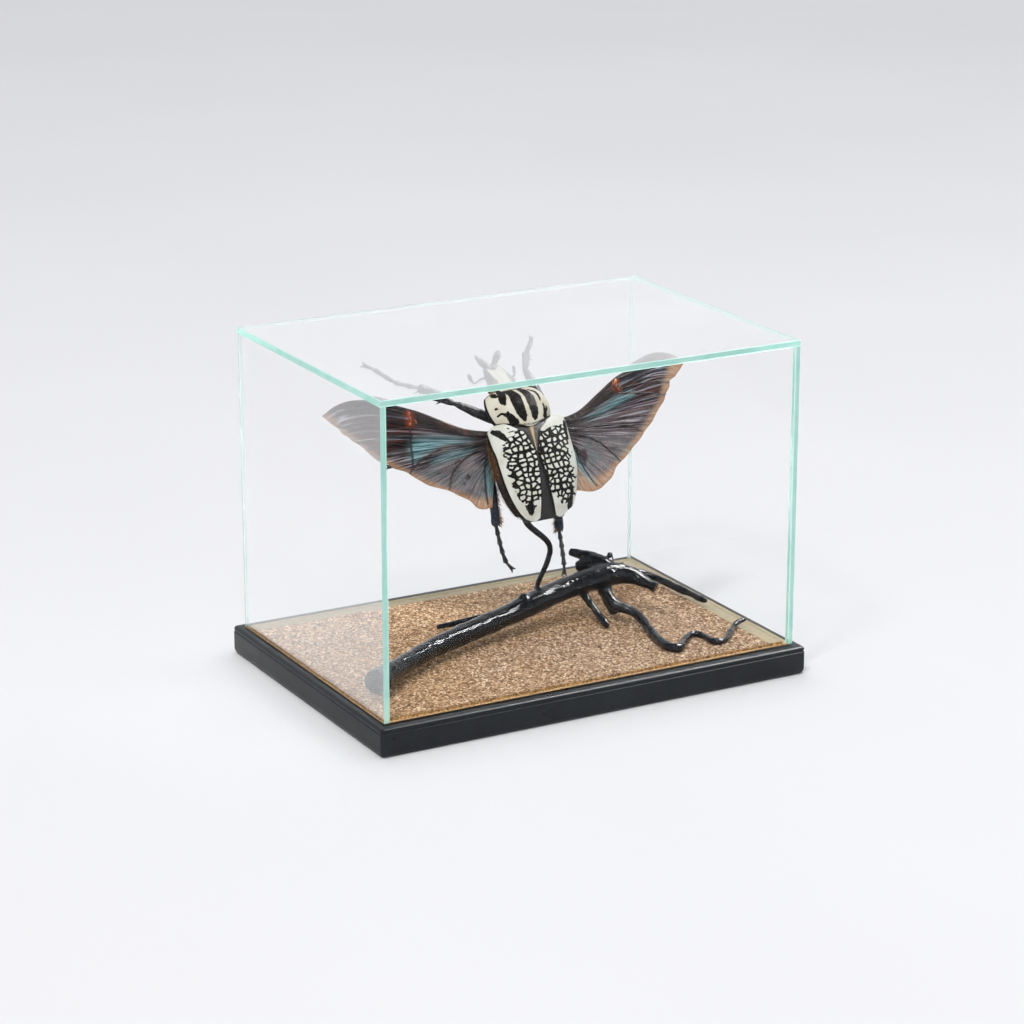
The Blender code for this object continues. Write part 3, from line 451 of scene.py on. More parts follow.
case = {"baseLength": 250.0, "baseDepth": 177.0, "baseHeight": 15.3, "baseCorner": 2.2, "glassLength": 241.0,
        "glassDepth": 164.4, "glassHeight": 165.2, "pane": 2.7, "gap": 0.3, "pocketDepth": 3.0,
        "profile": ((2.9, 0.0), (1.3, 0.5), (0.35, 1.6), (0.0, 3.2), (0.0, 7.3), (0.0, 11.4), (0.1, 12.1),
                    (0.4, 12.45), (0.45, 12.75), (0.25, 13.1), (0.2, 13.7), (0.5, 14.5), (1.2, 15.1),
                    (2.3, 15.3))}


def roundedRectangle(length, depth, corner, height, steps=8):
    ring = []
    for quarter, (across, along) in enumerate(((1, 1), (-1, 1), (-1, -1), (1, -1))):
        for step in range(steps + 1):
            angle = math.radians(90.0 * quarter + 90.0 * step / steps)
            ring.append(Vector((across * (length / 2 - corner) + corner * math.cos(angle),
                                along * (depth / 2 - corner) + corner * math.sin(angle), height)))
    return ring


def buildBase():
    profile = smoothPath(case["profile"], 3)
    rings = [roundedRectangle(case["baseLength"] - 2 * inset, case["baseDepth"] - 2 * inset,
                              max(case["baseCorner"] - inset, 0.4), min(max(height, 0.0), case["baseHeight"]))
             for inset, height in ((max(inset, 0.0), height) for inset, height in profile)]
    pocketLength = case["glassLength"] - 2 * case["pane"]
    pocketDepth = case["glassDepth"] - 2 * case["pane"]
    for inset, drop in ((-0.25, 0.0), (0.0, 0.25), (0.0, case["pocketDepth"])):
        rings.append(roundedRectangle(pocketLength - 2 * inset, pocketDepth - 2 * inset, 0.4,
                                      case["baseHeight"] - drop))
    work = bmesh.new()
    skinRings(work, rings)
    piece = meshObject("plinth", work, angle=50.0)
    material, tree, shader = newMaterial("blackLacquer", colour=(0.012, 0.013, 0.015), roughness=0.3,
                                         coat=0.06,
                                         coatRoughness=0.12, specular=0.2)
    place = objectPlace(tree)
    skin = useGroup(tree, lacquerSkin, Place=place, Swell=45.0, Pits=1500.0, Depth=0.03)
    black = ramp(tree, skin["Mottle"], (0.3, (0.0085, 0.0105, 0.013)), (0.7, (0.015, 0.018, 0.0215)))
    dust = useGroup(tree, fineDust, Place=place, Colour=black, Amount=0.05, Scale=700.0)
    join(tree, dust["Colour"], shader, "Base Color")
    smear = noiseAt(tree, place, 30.0, 5.0, 0.6)
    join(tree, fit(tree, smear, 0.3, 0.7, 0.24, 0.4), shader, "Roughness")
    bump(tree, shader, skin["Height"], 0.00003)
    finishPiece(piece, material, "lacquer_black", "base_plinth")


def dressBoard():
    material, tree, shader = newMaterial("beigeBoard", colour=(0.44, 0.36, 0.235), roughness=0.75,
                                         specular=0.3)
    place = objectPlace(tree)
    fibre = noiseAt(tree, stretch(tree, place, (1.0, 6.0, 1.0)), 260.0, 5.0, 0.65)
    paint(tree, shader, fibre, (0.3, (0.33, 0.265, 0.165)), (0.55, (0.44, 0.365, 0.24)),
          (0.75, (0.52, 0.44, 0.31)))
    bump(tree, shader, fibre, 0.0002)
    dress(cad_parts["ground_board"], material)


buildBase()
dressBoard()
print("base ready")


# cork

cork = {
    "granules": {"Granules per square metre": 300000.0, "Granule size": 0.0009, "Flatness": 0.5, "Seed": 11},
    "top": 16.9, "inset": 0.7,
    "cutGap": 0.05, "cutDepth": 0.12, "cutLow": 15.65, "cutTop": 17.05, "cutRise": 0.28, "cutSteps": 240,
    "lipLevels": (15.61, 15.66, 15.7), "lipWidth": 0.9,
}


def corkMaterial():
    material, tree, shader = newMaterial("corkGrain", colour=(0.45, 0.28, 0.16), roughness=0.88, specular=0.1)
    place = objectPlace(tree)
    tone = attribute(tree, "granuleTone")
    chip = addTimes(tree, cellsAt(tree, place, 780.0)["Color"], 0.55, times(tree, tone, 0.75))
    pores = noiseAt(tree, place, 2600.0, 4.0, 0.7)
    tint = sway(tree, pores, 0.7, chip)
    colour = ramp(tree, tint, (0.0, (0.09, 0.045, 0.022)), (0.2, (0.28, 0.15, 0.072)),
                  (0.42, (0.55, 0.335, 0.18)), (0.68, (0.76, 0.515, 0.31)), (0.95, (0.9, 0.7, 0.5)))
    faded = fit(tree, noiseAt(tree, place, 9.0, 3.0, 0.6), 0.4, 0.6, 0.0, 0.4)
    pale = node(tree, "HueSaturation", {"Color": colour, "Saturation": 0.66, "Value": 1.0}).outputs[0]
    # painted light: the cork's colour is brightened up to 1.22 times towards the back of the case
    away = fit(tree, part(tree, place, "Y"), -0.01, 0.06, 1.0, 1.22)
    corkPaintedBackLight = node(tree, "HueSaturation", {"Color": mixColour(tree, faded, colour, pale),
                                       "Value": away}).outputs[0]
    join(tree, corkPaintedBackLight, shader, "Base Color")
    crack = cellsAt(tree, place, 620.0, "DISTANCE_TO_EDGE")["Distance"]
    height = mathNode(tree, "ADD", mathNode(tree, "MINIMUM", crack, 0.12), times(tree, pores, 0.12))
    bump(tree, shader, height, 0.0012)
    return material


def geometryTree(name, *labels):  # an empty geometry tree, its sockets' identifiers and its two ends
    tree = bpy.data.node_groups.new(name, "GeometryNodeTree")
    sockets = {}
    for label, kind in (("Geometry", "Geometry"), *labels):
        sockets[label] = tree.interface.new_socket(label, in_out="INPUT",
                                                   socket_type="NodeSocket" + kind).identifier
    tree.interface.new_socket("Geometry", in_out="OUTPUT", socket_type="NodeSocketGeometry")
    return tree, sockets, tree.nodes.new("NodeGroupInput").outputs, tree.nodes.new("NodeGroupOutput").inputs


def finishTree(tree, instances, material, made):
    real = node(tree, "GeometryNodeRealizeInstances", {0: instances})
    coloured = node(tree, "GeometryNodeSetMaterial", {"Geometry": real.outputs[0], "Material": material})
    tree.links.new(coloured.outputs[0], made["Geometry"])


def granuleTree(material):  # cork granules strewn over a face
    tree, sockets, given, made = geometryTree("corkGranules", ("Granules per square metre", "Float"),
                                              ("Granule size", "Float"), ("Flatness", "Float"),
                                              ("Seed", "Int"))
    strewn = node(tree, "GeometryNodeDistributePointsOnFaces", {
        "Mesh": given["Geometry"], "Density": given["Granules per square metre"], "Seed": given["Seed"]})
    chip = node(tree, "GeometryNodeMeshIcoSphere", {"Subdivisions": 1, "Radius": given["Granule size"]})
    turn = node(tree, "FunctionNodeRandomValue", {0: (-0.5, -0.5, 0.0), 1: (0.5, 0.5, 6.28),
                                                  "Seed": given["Seed"]},
                data_type="FLOAT_VECTOR")
    scale = node(tree, "FunctionNodeRandomValue", {0: (0.55, 0.45, 0.35), 1: (1.5, 1.05, 0.85)},
                 data_type="FLOAT_VECTOR")
    flat = node(tree, "CombineXYZ", {0: 1.0, 1: 1.0, 2: given["Flatness"]})
    squash = node(tree, "VectorMath", {0: scale.outputs[0], 1: flat.outputs[0]}, operation="MULTIPLY")
    placed = node(tree, "GeometryNodeInstanceOnPoints", {
        "Points": strewn.outputs["Points"], "Instance": chip.outputs["Mesh"], "Rotation": turn.outputs[0],
        "Scale": squash.outputs[0]})
    tone = node(tree, "FunctionNodeRandomValue", {"Seed": 5}, data_type="FLOAT")
    stored = node(tree, "GeometryNodeStoreNamedAttribute", {
        "Geometry": placed.outputs[0], "Name": "granuleTone", "Value": tone.outputs[1]}, data_type="FLOAT",
        domain="INSTANCE")
    finishTree(tree, stored.outputs[0], material, made)
    return tree, sockets


def growInPlace(piece, tree, sockets, values, smooth=None):
    # run a geometry tree and keep only its plain mesh
    step = piece.modifiers.new("grow", "NODES")
    step.node_group = tree
    for label, value in values.items():
        step[sockets[label]] = value
    settled(piece, smooth)


def buildCork():
    material = corkMaterial()
    dress(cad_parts["ground_cork"], material)
    low, high = (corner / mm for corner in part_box("ground_cork"))
    left, front = low.x + cork["inset"], low.y + cork["inset"]
    right, back = high.x - cork["inset"], high.y - cork["inset"]
    work = bmesh.new()
    corners = ((left, front), (right, front), (right, back), (left, back))
    work.faces.new([work.verts.new((x, y, cork["top"])) for x, y in corners])
    piece = meshObject("corkGranules", work)
    growInPlace(piece, *granuleTree(material), cork["granules"], smooth=False)
    finishPiece(piece, None, "cork")
    print("cork granules", len(piece.data.polygons))


buildCork()
print("cork ready")


# glass

glass = {"chamfer": 0.2, "edgeColour": (0.36, 0.72, 0.63), "faceTint": (1.0, 1.0, 1.0),
         "kinds": {"plainGlass": (1.1, 0.0, 1.5), "sideGlass": (1.5, 1.0, 1.8), "lidGlass": (1.5, 1.0, 2.0)}}


def clearGlass(name, ior, coat, coatIor):
    material, tree, shader = newMaterial(name, colour=glass["faceTint"], roughness=0.0, transmission=1.0,
                                         ior=ior, coat=coat, coatRoughness=0.0)
    shader.inputs["Coat IOR"].default_value = coatIor
    smear = noiseAt(tree, objectPlace(tree), 14.0, 4.0, 0.6)
    join(tree, fit(tree, smear, 0.45, 0.8, 0.0, 0.012), shader, "Roughness")
    clear = node(tree, "BsdfTransparent", {"Color": (0.99, 1.0, 0.997, 1.0)})
    path = node(tree, "LightPath")
    soft = mathNode(tree, "MAXIMUM", path.outputs["Is Shadow Ray"], path.outputs["Is Diffuse Ray"])
    mixed = node(tree, "MixShader", {0: soft, 1: shader.outputs[0], 2: clear.outputs[0]})
    tree.links.new(mixed.outputs[0], tree.nodes["Material Output"].inputs["Surface"])
    return material


def edgeGlass(name, pale):
    material, tree, shader = newMaterial(name, colour=glass["edgeColour"], roughness=0.2,
                                         transmission=0.35 + 0.4 * pale, ior=1.5, specular=0.1)
    place = objectPlace(tree)
    streak = noiseAt(tree, place, 90.0, 3.0)
    teal = ramp(tree, streak, (0.3, (0.4, 0.76, 0.67)), (0.7, (0.54, 0.86, 0.78)))
    # painted backlight: pale mixes the teal towards near white for edges lit from the bright back
    join(tree, mixColour(tree, pale, teal, (0.86, 0.92, 0.92)), shader, "Base Color")
    # painted glow: the edge glass gives off its own teal light, weaker on the pale edges
    shader.inputs["Emission Color"].default_value = (0.48, 0.82, 0.72, 1.0)
    shader.inputs["Emission Strength"].default_value = 0.2 * (1.0 - pale)
    bump(tree, shader, noiseAt(tree, place, 1200.0, 2.0), 0.00004)
    return material


def buildCorkEdge():  # the cork's cut edge against the front and left panes
    left = -case["glassLength"] / 2 + case["pane"] + cork["cutGap"]
    front = -case["glassDepth"] / 2 + case["pane"] + cork["cutGap"]
    work = bmesh.new()
    for start, end in (((left, front), (-left - 2.0, front)), ((left, -front - 2.0), (left, front))):
        run = Vector(end) - Vector(start)
        inward = Vector((-run.y, run.x)).normalized() * cork["cutDepth"]
        rows = []
        for step in range(cork["cutSteps"] + 1):
            x, y = spot = Vector(start).lerp(Vector(end), step / cork["cutSteps"])
            rise = cork["cutTop"] + cork["cutRise"] * noise.noise(Vector((x * 0.9, y * 0.9, 4.0)))
            far = spot + inward
            rows.append([(x, y, cork["cutLow"]), (x, y, rise), (*far, rise), (*far, cork["cutLow"])])
        skinRings(work, rows)
    finishPiece(meshObject("corkCutEdge", work, angle=40.0), bpy.data.materials["amberCorkEdgeAndFootReflection"], "cork")


def buildBoardLip():  # the board's lip under the back and right panes
    left = -case["glassLength"] / 2 + case["pane"] + 0.35
    front = -case["glassDepth"] / 2 + case["pane"] + 0.35
    right, back, width = 0.2 - left, 0.2 - front, cork["lipWidth"]
    work = bmesh.new()
    for x, y, farX, farY in ((right + 0.3 - width, front, right + 0.3, back + 0.3),
                             (left, back + 0.3 - width, right + 0.3 - width, back + 0.3)):
        skinRings(work, [[(x, y, z), (farX, y, z), (farX, farY, z), (x, farY, z)] for z in cork["lipLevels"]])
    finishPiece(meshObject("boardLip", work, angle=40.0), bpy.data.materials["beigeBoard"], "board_beige")


def buildPanes():
    halfX, halfY = case["glassLength"] / 2, case["glassDepth"] / 2
    low = case["baseHeight"] + case["gap"]
    top = case["baseHeight"] + case["glassHeight"]
    wallTop = top - case["pane"] - case["gap"]
    pane = case["pane"]
    inner = halfX - pane - case["gap"]
    panes = {
        "glass_left": ("leftPane", (-halfX, -halfY, low), (-halfX + pane, halfY, wallTop), 0),
        "glass_right": ("rightPane", (halfX - pane, -halfY, low), (halfX, halfY, wallTop), 0),
        "glass_front": ("frontPane", (-inner, -halfY, low), (inner, -halfY + pane, wallTop), 1),
        "glass_back": ("backPane", (-inner, halfY - pane, low), (inner, halfY, wallTop), 1),
        "glass_top": ("topPane", (-halfX, -halfY, top - pane), (halfX, halfY, top), 2),
    }
    clear = {kind: clearGlass(kind, *values) for kind, values in glass["kinds"].items()}
    sorts = {"leftPane": "sideGlass", "topPane": "lidGlass"}
    edge, backlitEdge = edgeGlass("tealEdge", 0.0), edgeGlass("backlitEdge", 0.72)
    # amber cork grit: the cork's cut edge uses it as its own colour, the feet of the front and left panes as
    # a painted reflection of the cork
    amber, tree, shader = newMaterial("amberCorkEdgeAndFootReflection", colour=(0.36, 0.2, 0.07), roughness=0.6)
    grit = noiseAt(tree, objectPlace(tree), 700.0, 3.0, 0.7)
    paint(tree, shader, grit, (0.35, (0.08, 0.035, 0.012)), (0.52, (0.4, 0.21, 0.06)),
          (0.7, (0.7, 0.48, 0.2)))
    bump(tree, shader, grit, 0.0002)
    for nodeName, (name, lowest, highest, thinAxis) in panes.items():
        work = bmesh.new()
        bmesh.ops.create_cube(work, size=1.0)
        size = Vector(highest) - Vector(lowest)
        work.transform(Matrix.Translation((Vector(lowest) + Vector(highest)) / 2)
                       @ Matrix.Diagonal((*size, 1.0)))
        bmesh.ops.bevel(work, geom=work.edges[:], offset=glass["chamfer"], segments=1, affect="EDGES")
        for face in work.faces:
            # painted backlight: edges facing the back, the lid's right edges and all the back pane's edges
            # take the whitened edge glass; the others take the plain teal one
            far = face.normal.y > 0.9 or (face.normal.x > 0.9 and name == "topPane")
            flat = abs(face.normal[thinAxis]) > 0.99
            face.material_index = 0 if flat else 2 if far or name == "backPane" else 1
            # painted reflections on the pane feet: the cork's amber under the front and left panes, the
            # board's colour under the back and right panes
            if face.normal.z < -0.4 and name != "topPane":
                face.material_index = 3 if name in ("frontPane", "leftPane") else 4
        piece = meshObject(name, work)
        shade(piece.data, False)
        for material in (clear[sorts.get(name, "plainGlass")], edge, backlitEdge, amber,
                         bpy.data.materials["beigeBoard"]):
            piece.data.materials.append(material)
        finishPiece(piece, None, "case_glass", nodeName)


buildPanes()
buildCorkEdge()
buildBoardLip()
print("glass ready")


# branch, twigs and wire

branch = {
    "stem": ((-107, -50.4, 24.9, 6.6), (-98, -43.2, 25.2, 5.6), (-88.9, -36.8, 25.4, 5),
             (-72, -26.8, 25.5, 5), (-56.5, -18.8, 25.8, 5.2), (-40, -12.9, 26.9, 5.5),
             (-24.4, -8.6, 28, 5.7), (-11, -5.6, 29.6, 5.8), (2.5, -3.2, 31.8, 6.2), (14, -1.4, 33.9, 6.4),
             (25.8, 0.2, 35.8, 6), (38.5, 1, 38, 6.1), (51.2, 1.1, 39.6, 6.6), (60, 0.4, 40.2, 6.3),
             (66.5, -2.6, 39.6, 5.2), (71.3, -8.3, 37.6, 3.7), (74.4, -12.2, 35.6, 2.7),
             (76.8, -15.4, 34.2, 3.3)),
    "shoots": (
        ((58.5, 1.2, 42.3, 4.4), (55, 7.9, 45.4, 4.6), (50.8, 14.7, 47.4, 3.2), (44.6, 21.9, 49, 2.2)),
        ((54, 4.5, 43.5, 3.2), (49.5, 10.8, 43.6, 2.9), (45.2, 15.2, 42.6, 2.6)),
        ((59, 2.2, 43.3, 2.2), (60, 4.6, 47, 1.7), (60.6, 6.5, 50.2, 1.5)),
        ((62.8, -3, 43, 1.4), (63.8, -2, 45.2, 0.9), (64.6, -1.2, 47, 0.45)),
        ((52.6, -0.4, 36, 4), (54.2, -1.4, 30, 3.7), (55.8, -3, 25, 3.3), (55.6, -7.6, 20.9, 2.6)),
        ((38.5, 2, 36, 2.7), (41.2, -0.8, 31, 2.2), (43.9, -7.2, 24.6, 2), (44.6, -15.6, 20.2, 2),
         (44.8, -19, 19.1, 1.5)),
        ((53, -3, 31.5, 3.2), (53.9, -10.2, 27, 3.2), (59, -15.6, 25, 2.8), (61.9, -22, 22.8, 2.6),
         (60.4, -33, 20.8, 2.5), (57.4, -46, 19.9, 2.4), (55.6, -58, 19.6, 2.4), (56.2, -65.2, 19.5, 2.5),
         (60.2, -66.2, 19.5, 2.3), (68, -58.4, 19.3, 2), (75.4, -52, 19.1, 1.8), (80, -52.6, 19, 1.7),
         (81.4, -58.6, 18.9, 1.6), (81.2, -65.4, 18.9, 1.6), (84.6, -68.2, 18.9, 1.6),
         (90.6, -64.6, 18.9, 1.5), (97.4, -57.4, 19.1, 1.5), (103.4, -51.8, 19.6, 1.5),
         (108.6, -49.4, 20.1, 1.2), (112.2, -48.7, 20.3, 1)),
        ((4, 1.6, 31, 2.2), (0.5, 6.5, 28.2, 2), (-7, 13.4, 24.6, 1.9), (-20.2, 19, 21.2, 1.9),
         (-33, 21.6, 19.8, 1.7), (-36.4, 22.2, 19.4, 1.5)),
        ((61, 5, 37, 2.2), (70, 14, 33, 2), (82, 26, 29.5, 2.1), (93.3, 31, 26.3, 2.3),
         (101.5, 24, 23.3, 2.3), (107, 6.5, 21.3, 2.1), (109.6, -8, 20.3, 1.7), (110.4, -13.6, 20, 1.2)),
    ),
    "knots": ((2.6, -2.8, 36.6, 3.4), (62.5, -0.5, 44.2, 2.2), (50, 1.5, 44.6, 2), (56, -3.6, 41.8, 2.6),
              (73.4, -10.6, 37.8, 1.6), (-66, -25.5, 29, 2)),
    "voxel": 0.00062, "wrinkle": 0.32, "swell": 0.5, "fine": 0.12, "tallest": 0.3, "roughness": 0.1,
}
wire = {
    "path": ((3.6, -2.4, 83), (3.9, -2.3, 79.5), (6.2, -2.4, 76.2), (10.4, -2.7, 72.2), (14.6, -2.8, 68.4),
             (17.6, -2.6, 64.8), (18.8, -2.2, 61.2), (18.5, -1.6, 57.6), (17.4, -0.9, 53), (15.8, 0.2, 48.4),
             (14.3, 1.4, 43.9), (13.3, 2, 40), (13, 2, 37)),
    "radius": 1.8, "waist": 1.35, "foot": 2.1, "ripple": 0.12, "roughness": 0.1,
}


def joined(pieces, name):  # one object from several
    work = bmesh.new()
    for piece in pieces:
        work.from_mesh(piece.data)
        bpy.data.objects.remove(piece)
    return newObject(name, work)


def fused(piece, voxel, rounds):  # melt overlapping forms into one skin
    remesh = piece.modifiers.new("remesh", "REMESH")
    remesh.mode = "VOXEL"
    remesh.voxel_size = voxel
    smooth = piece.modifiers.new("smooth", "SMOOTH")
    smooth.iterations = rounds
    smooth.factor = 0.5
    return settled(piece, True)


def lacquerMaterial(name, roughness):
    material, tree, shader = newMaterial(name, colour=(0.01, 0.011, 0.013), roughness=roughness, coat=0.4,
                                         coatRoughness=0.03,
                                         specular=0.15)
    height = dressGloss(tree, shader, {"Swell": 260.0, "Pits": 1400.0, "Depth": 0.1},
                        {"Amount": 0.02, "Scale": 1100.0}, 75.0, (roughness * 0.7, roughness * 2.2),
                        (0.3, (0.004, 0.005, 0.007)), (0.7, (0.01, 0.0115, 0.0145)))
    bump(tree, shader, height, 0.00009)
    return material


def buildBranch():
    pieces = []
    for sides, path in ((20, branch["stem"]), *((14, shoot) for shoot in branch["shoots"])):
        work = bmesh.new()
        tubeInto(work, path, sides, 6, roundEnds=False)
        pieces.append(meshObject("branchShoot", work))
    for x, y, z, radius in branch["knots"]:
        work = bmesh.new()
        bmesh.ops.create_icosphere(work, subdivisions=2, radius=radius)
        bmesh.ops.translate(work, verts=work.verts[:], vec=(x, y, z))
        pieces.append(meshObject("branchKnot", work))
    piece = fused(joined(pieces, "lacqueredBranch"), branch["voxel"], 5)
    mesh = piece.data
    moves = []
    for vertex in mesh.vertices:
        spot = vertex.co / mm
        along = spot.x + 0.3 * spot.y
        streak = noise.noise(Vector((along * 0.05, spot.y * 0.35, spot.z * 0.35)))
        swell = noise.noise(Vector((along * 0.11, spot.y * 0.12, spot.z * 0.12 + 7.0)))
        fine = noise.noise(spot * 0.55 + Vector((3.0, 9.0, 1.0)))
        move = branch["wrinkle"] * streak + branch["swell"] * swell + branch["fine"] * fine
        moves.append(vertex.normal * (min(move, branch["tallest"]) * mm))
    for vertex, move in zip(mesh.vertices, moves):
        vertex.co += move
    finishPiece(piece, lacquerMaterial("branchLacquer", branch["roughness"]), "branch_black", "branch",
                "twig_drop", "twig_short", "twig_long",
                "twig_back", "twig_rear")
    print("branch faces", len(mesh.polygons))


def buildWire():
    path = []
    last = len(wire["path"]) - 1
    for index, point in enumerate(wire["path"]):
        waist = wire["radius"] + (wire["waist"] - wire["radius"]) * min(index / (last - 3), 1.0)
        path.append((*point, wire["foot"] if index == last else waist))
    work = bmesh.new()
    tubeInto(work, path, 20, 5)
    piece = meshObject("supportWire", work)
    for vertex in piece.data.vertices:
        vertex.co += vertex.normal * (wire["ripple"] * mm * noise.noise(vertex.co / mm * 0.4))
    finishPiece(piece, lacquerMaterial("wireLacquer", wire["roughness"]), "wire_black", "support_wire")


buildBranch()
buildWire()
print("branch and wire ready")


# the beetle's frames and plates

beetle = {
    "origin": (7.9, 3.8, 125.8), "turns": ((-11.0, "Z"), (68.0, "X"), (5.0, "Z")),
    "pronotumPivot": (0.2, 2.2, -0.6), "pronotumTurns": ((7.0, "Z"), (-19.7, "X"), (9.0, "Y")),
    "headPivot": (-1.7, 21.4, -0.8), "headTurns": ((3.7, "Z"), (-12.8, "X"), (4.3, "Y")),
}
bodyFrame = turned(beetle["origin"], beetle["turns"])
pronotumFrame = turned(beetle["pronotumPivot"], beetle["pronotumTurns"], bodyFrame)
headFrame = turned(beetle["headPivot"], beetle["headTurns"], pronotumFrame)

elytra = {
    "crown": ((8, 5.6), (4, 8.4), (0, 9.6), (-12, 10.4), (-24, 9.8), (-34, 8), (-41, 5.6), (-45.5, 3.2),
              (-49, 1.8)),
    "side": ((8, 20.4), (1, 22), (-6, 22.5), (-14, 22.4), (-22, 22.1), (-30, 20.6), (-37, 18.3),
             (-43, 15), (-49, 10.5)),
    "inner": {"left": ((8, 8.6), (0, 4.7), (-4, 3.1), (-12, 0.4), (-20, 0.3), (-30, 0.8), (-46, 2.6)),
              "right": ((8, 8.6), (0, 4.7), (-4, 3.2), (-12, 0.5), (-20, 0.9), (-30, 2.1), (-46, 4.1))},
    "outwards": {"left": 0, "right": 1.3},
    "creamLeft": ((8, 21), (3, 21.6), (-5, 21.1), (-10, 20.2), (-19, 19.4), (-25.5, 18.5), (-34, 16.4),
                  (-41, 13.4), (-45.4, 10.3), (-49, 8.5)),
    "creamRight": ((8, 20.6), (1, 21.9), (-14, 22.2), (-22, 21.8), (-30, 20.2), (-37, 17.9), (-43, 14.6),
                   (-49, 10.2)),
    "netLeft": ((4, 10.5), (0.2, 12), (-2.9, 15), (-6.4, 16), (-10.1, 16.6), (-15.4, 16.6), (-21.9, 16.2),
                (-26.6, 15), (-33.6, 13.6), (-36.7, 11.4), (-38.5, 8)),
    "netRight": ((3, 10), (0, 18.5), (-1.9, 19.6), (-12.6, 19.3), (-22.5, 19.2), (-25.8, 20.2), (-33.5, 19),
                 (-37.4, 17.6), (-40.2, 14), (-42, 9)),
    "netFront": {"left": ((0, 2.4), (6, 1.6), (10, 0), (14, -0.6), (18, 0.5)),
                 "right": ((0, -1), (6, -2), (10, -0.6), (14, 0.6), (22, 1))},
    "netRear": {"left": ((0, -34.6), (6, -36.6), (10, -36.6), (14, -34.6), (20, -33)),
                "right": ((0, -33), (4, -34), (8, -39), (12, -39.6), (18, -38.6), (22, -36))},
    "marks": {
        "left": (((-19.2, 2.5, 1.3), (-17.2, 1.4, 1.8), (-15.9, -0.5, 1.7), (-14.4, -2.6, 1)),
                 ((-7.9, -37, 1.1), (-7.9, -39.4, 2.3), (-7.6, -41.8, 1.5), (-7.5, -43, 0.7)),
                 ((-10.6, -38, 0.35), (-9.5, -39.2, 0.6)), ((-4.6, -39.3, 0.3), (-6, -39.2, 0.6)),
                 ((-12.2, 3.2, 0.3), (-11.4, 2.4, 0.28))),
        "right": (((20.3, 1.6, 1), (19.9, -1.9, 1.4), (19.6, -4.9, 1.1), (20.2, -7.4, 0.4)),
                  ((16.1, -36.5, 1), (14.8, -40.1, 1.8), (14.2, -42.6, 1.6), (13.2, -44.3, 0.5)),
                  ((20.8, -14.6, 0.35), (20.6, -15, 0.3)), ((9, 3.6, 0.25), (9.2, 3.4, 0.2))),
    },
    "cellScale": 0.3, "line": 0.19, "thickness": 1, "rows": 110, "columns": 56,
}
pronotum = {
    "side": ((-3, 12.4), (1, 14.8), (5, 16.8), (10, 17.8), (14, 17.4), (18, 15.6), (22, 12.6), (25, 9.6)),
    "sideLeft": ((-3, 12.4), (1, 14.8), (5, 16.8), (10, 17.9), (14, 17.9), (18, 17.2), (22, 15.4),
                 (25, 12.8)),
    "crown": ((-3, 7.6), (1, 9), (6, 10.4), (10, 10.8), (14, 9.9), (17.5, 8.2), (21, 5.4), (24, 2.6)),
    "marks": (
        ((-4, 22.6, 1.3), (-3.7, 18.5, 2.2), (-3.3, 14.6, 2.75), (-3.9, 11.1, 2.75), (-4, 8.2, 2.7),
         (-3.8, 5.5, 2.4), (-3.4, 3.2, 1.8), (-3.3, 1.7, 1.2)),
        ((2.1, 19.6, 1.3), (3.6, 15.8, 2.05), (4.1, 12.5, 2.4), (3.8, 9.1, 2.4), (3.8, 6.1, 2.2),
         (3.5, 3.6, 1.9), (2.9, 1.5, 1.4), (2.7, 0.6, 0.8)),
        ((-7.4, 22, 1.6), (-8.7, 18.5, 1.7), (-9.9, 15.6, 1.5), (-10.5, 13.8, 1.3), (-10.2, 12.4, 0.5)),
        ((-11.9, 20.6, 1.3), (-11.7, 19.4, 1.1)),
        ((-14.7, 11.9, 0.4), (-14.3, 11.6, 0.3)), ((-14.9, 7.9, 0.4), (-14.5, 7.9, 0.3)),
        ((-13.8, 8.2, 0.3), (-12.6, 7.4, 0.4), (-11.5, 6.2, 0.35), (-10.6, 5.6, 0.7)),
        ((-10.5, 7.4, 0.3), (-10.4, 5.4, 1.2), (-9.6, 3.2, 1.7), (-8.2, 1.4, 1.5)),
        ((6.7, 17.6, 0.4), (9.7, 15.3, 0.6), (10, 11.8, 0.6), (9.6, 9.8, 0.3)),
        ((10.6, 7.3, 0.3), (10.5, 4.7, 0.6), (10.2, 2.3, 1), (9.6, 0.8, 1.2)),
        ((12.6, 5.6, 0.5), (11.2, 3.8, 0.5)),
    ),
    "thickness": 1.6, "rows": 84, "columns": 110,
}
scutellum = {"front": 1.6, "length": 12.6, "half": 4.2, "thickness": 1.0, "rows": 40}


def caseHeight(x, y):
    share = min(abs(x) / readCurve(elytra["side"], y), 1.0)
    return readCurve(elytra["crown"], y) * (1.0 - share ** 2.3) ** 0.6


def pronotumHeight(x, y):
    share = min(abs(x) / readCurve(pronotum["sideLeft" if x < 0 else "side"], y), 1.0)
    return readCurve(pronotum["crown"], y) * (1.0 - share ** 2.4) ** 0.62


def markDistance(x, y, marks):  # distance in mm to the nearest of some tapering strokes, below zero inside
    nearest = 30.0
    spot = Vector((x, y))
    for stroke in marks:
        for (ax, ay, ar), (bx, by, br) in zip(stroke, stroke[1:]):
            first, second = Vector((ax, ay)), Vector((bx, by))
            run = second - first
            share = min(max((spot - first).dot(run) / max(run.length_squared, 1e-9), 0.0), 1.0)
            nearest = min(nearest, (spot - first - run * share).length - ar - (br - ar) * share)
    return nearest


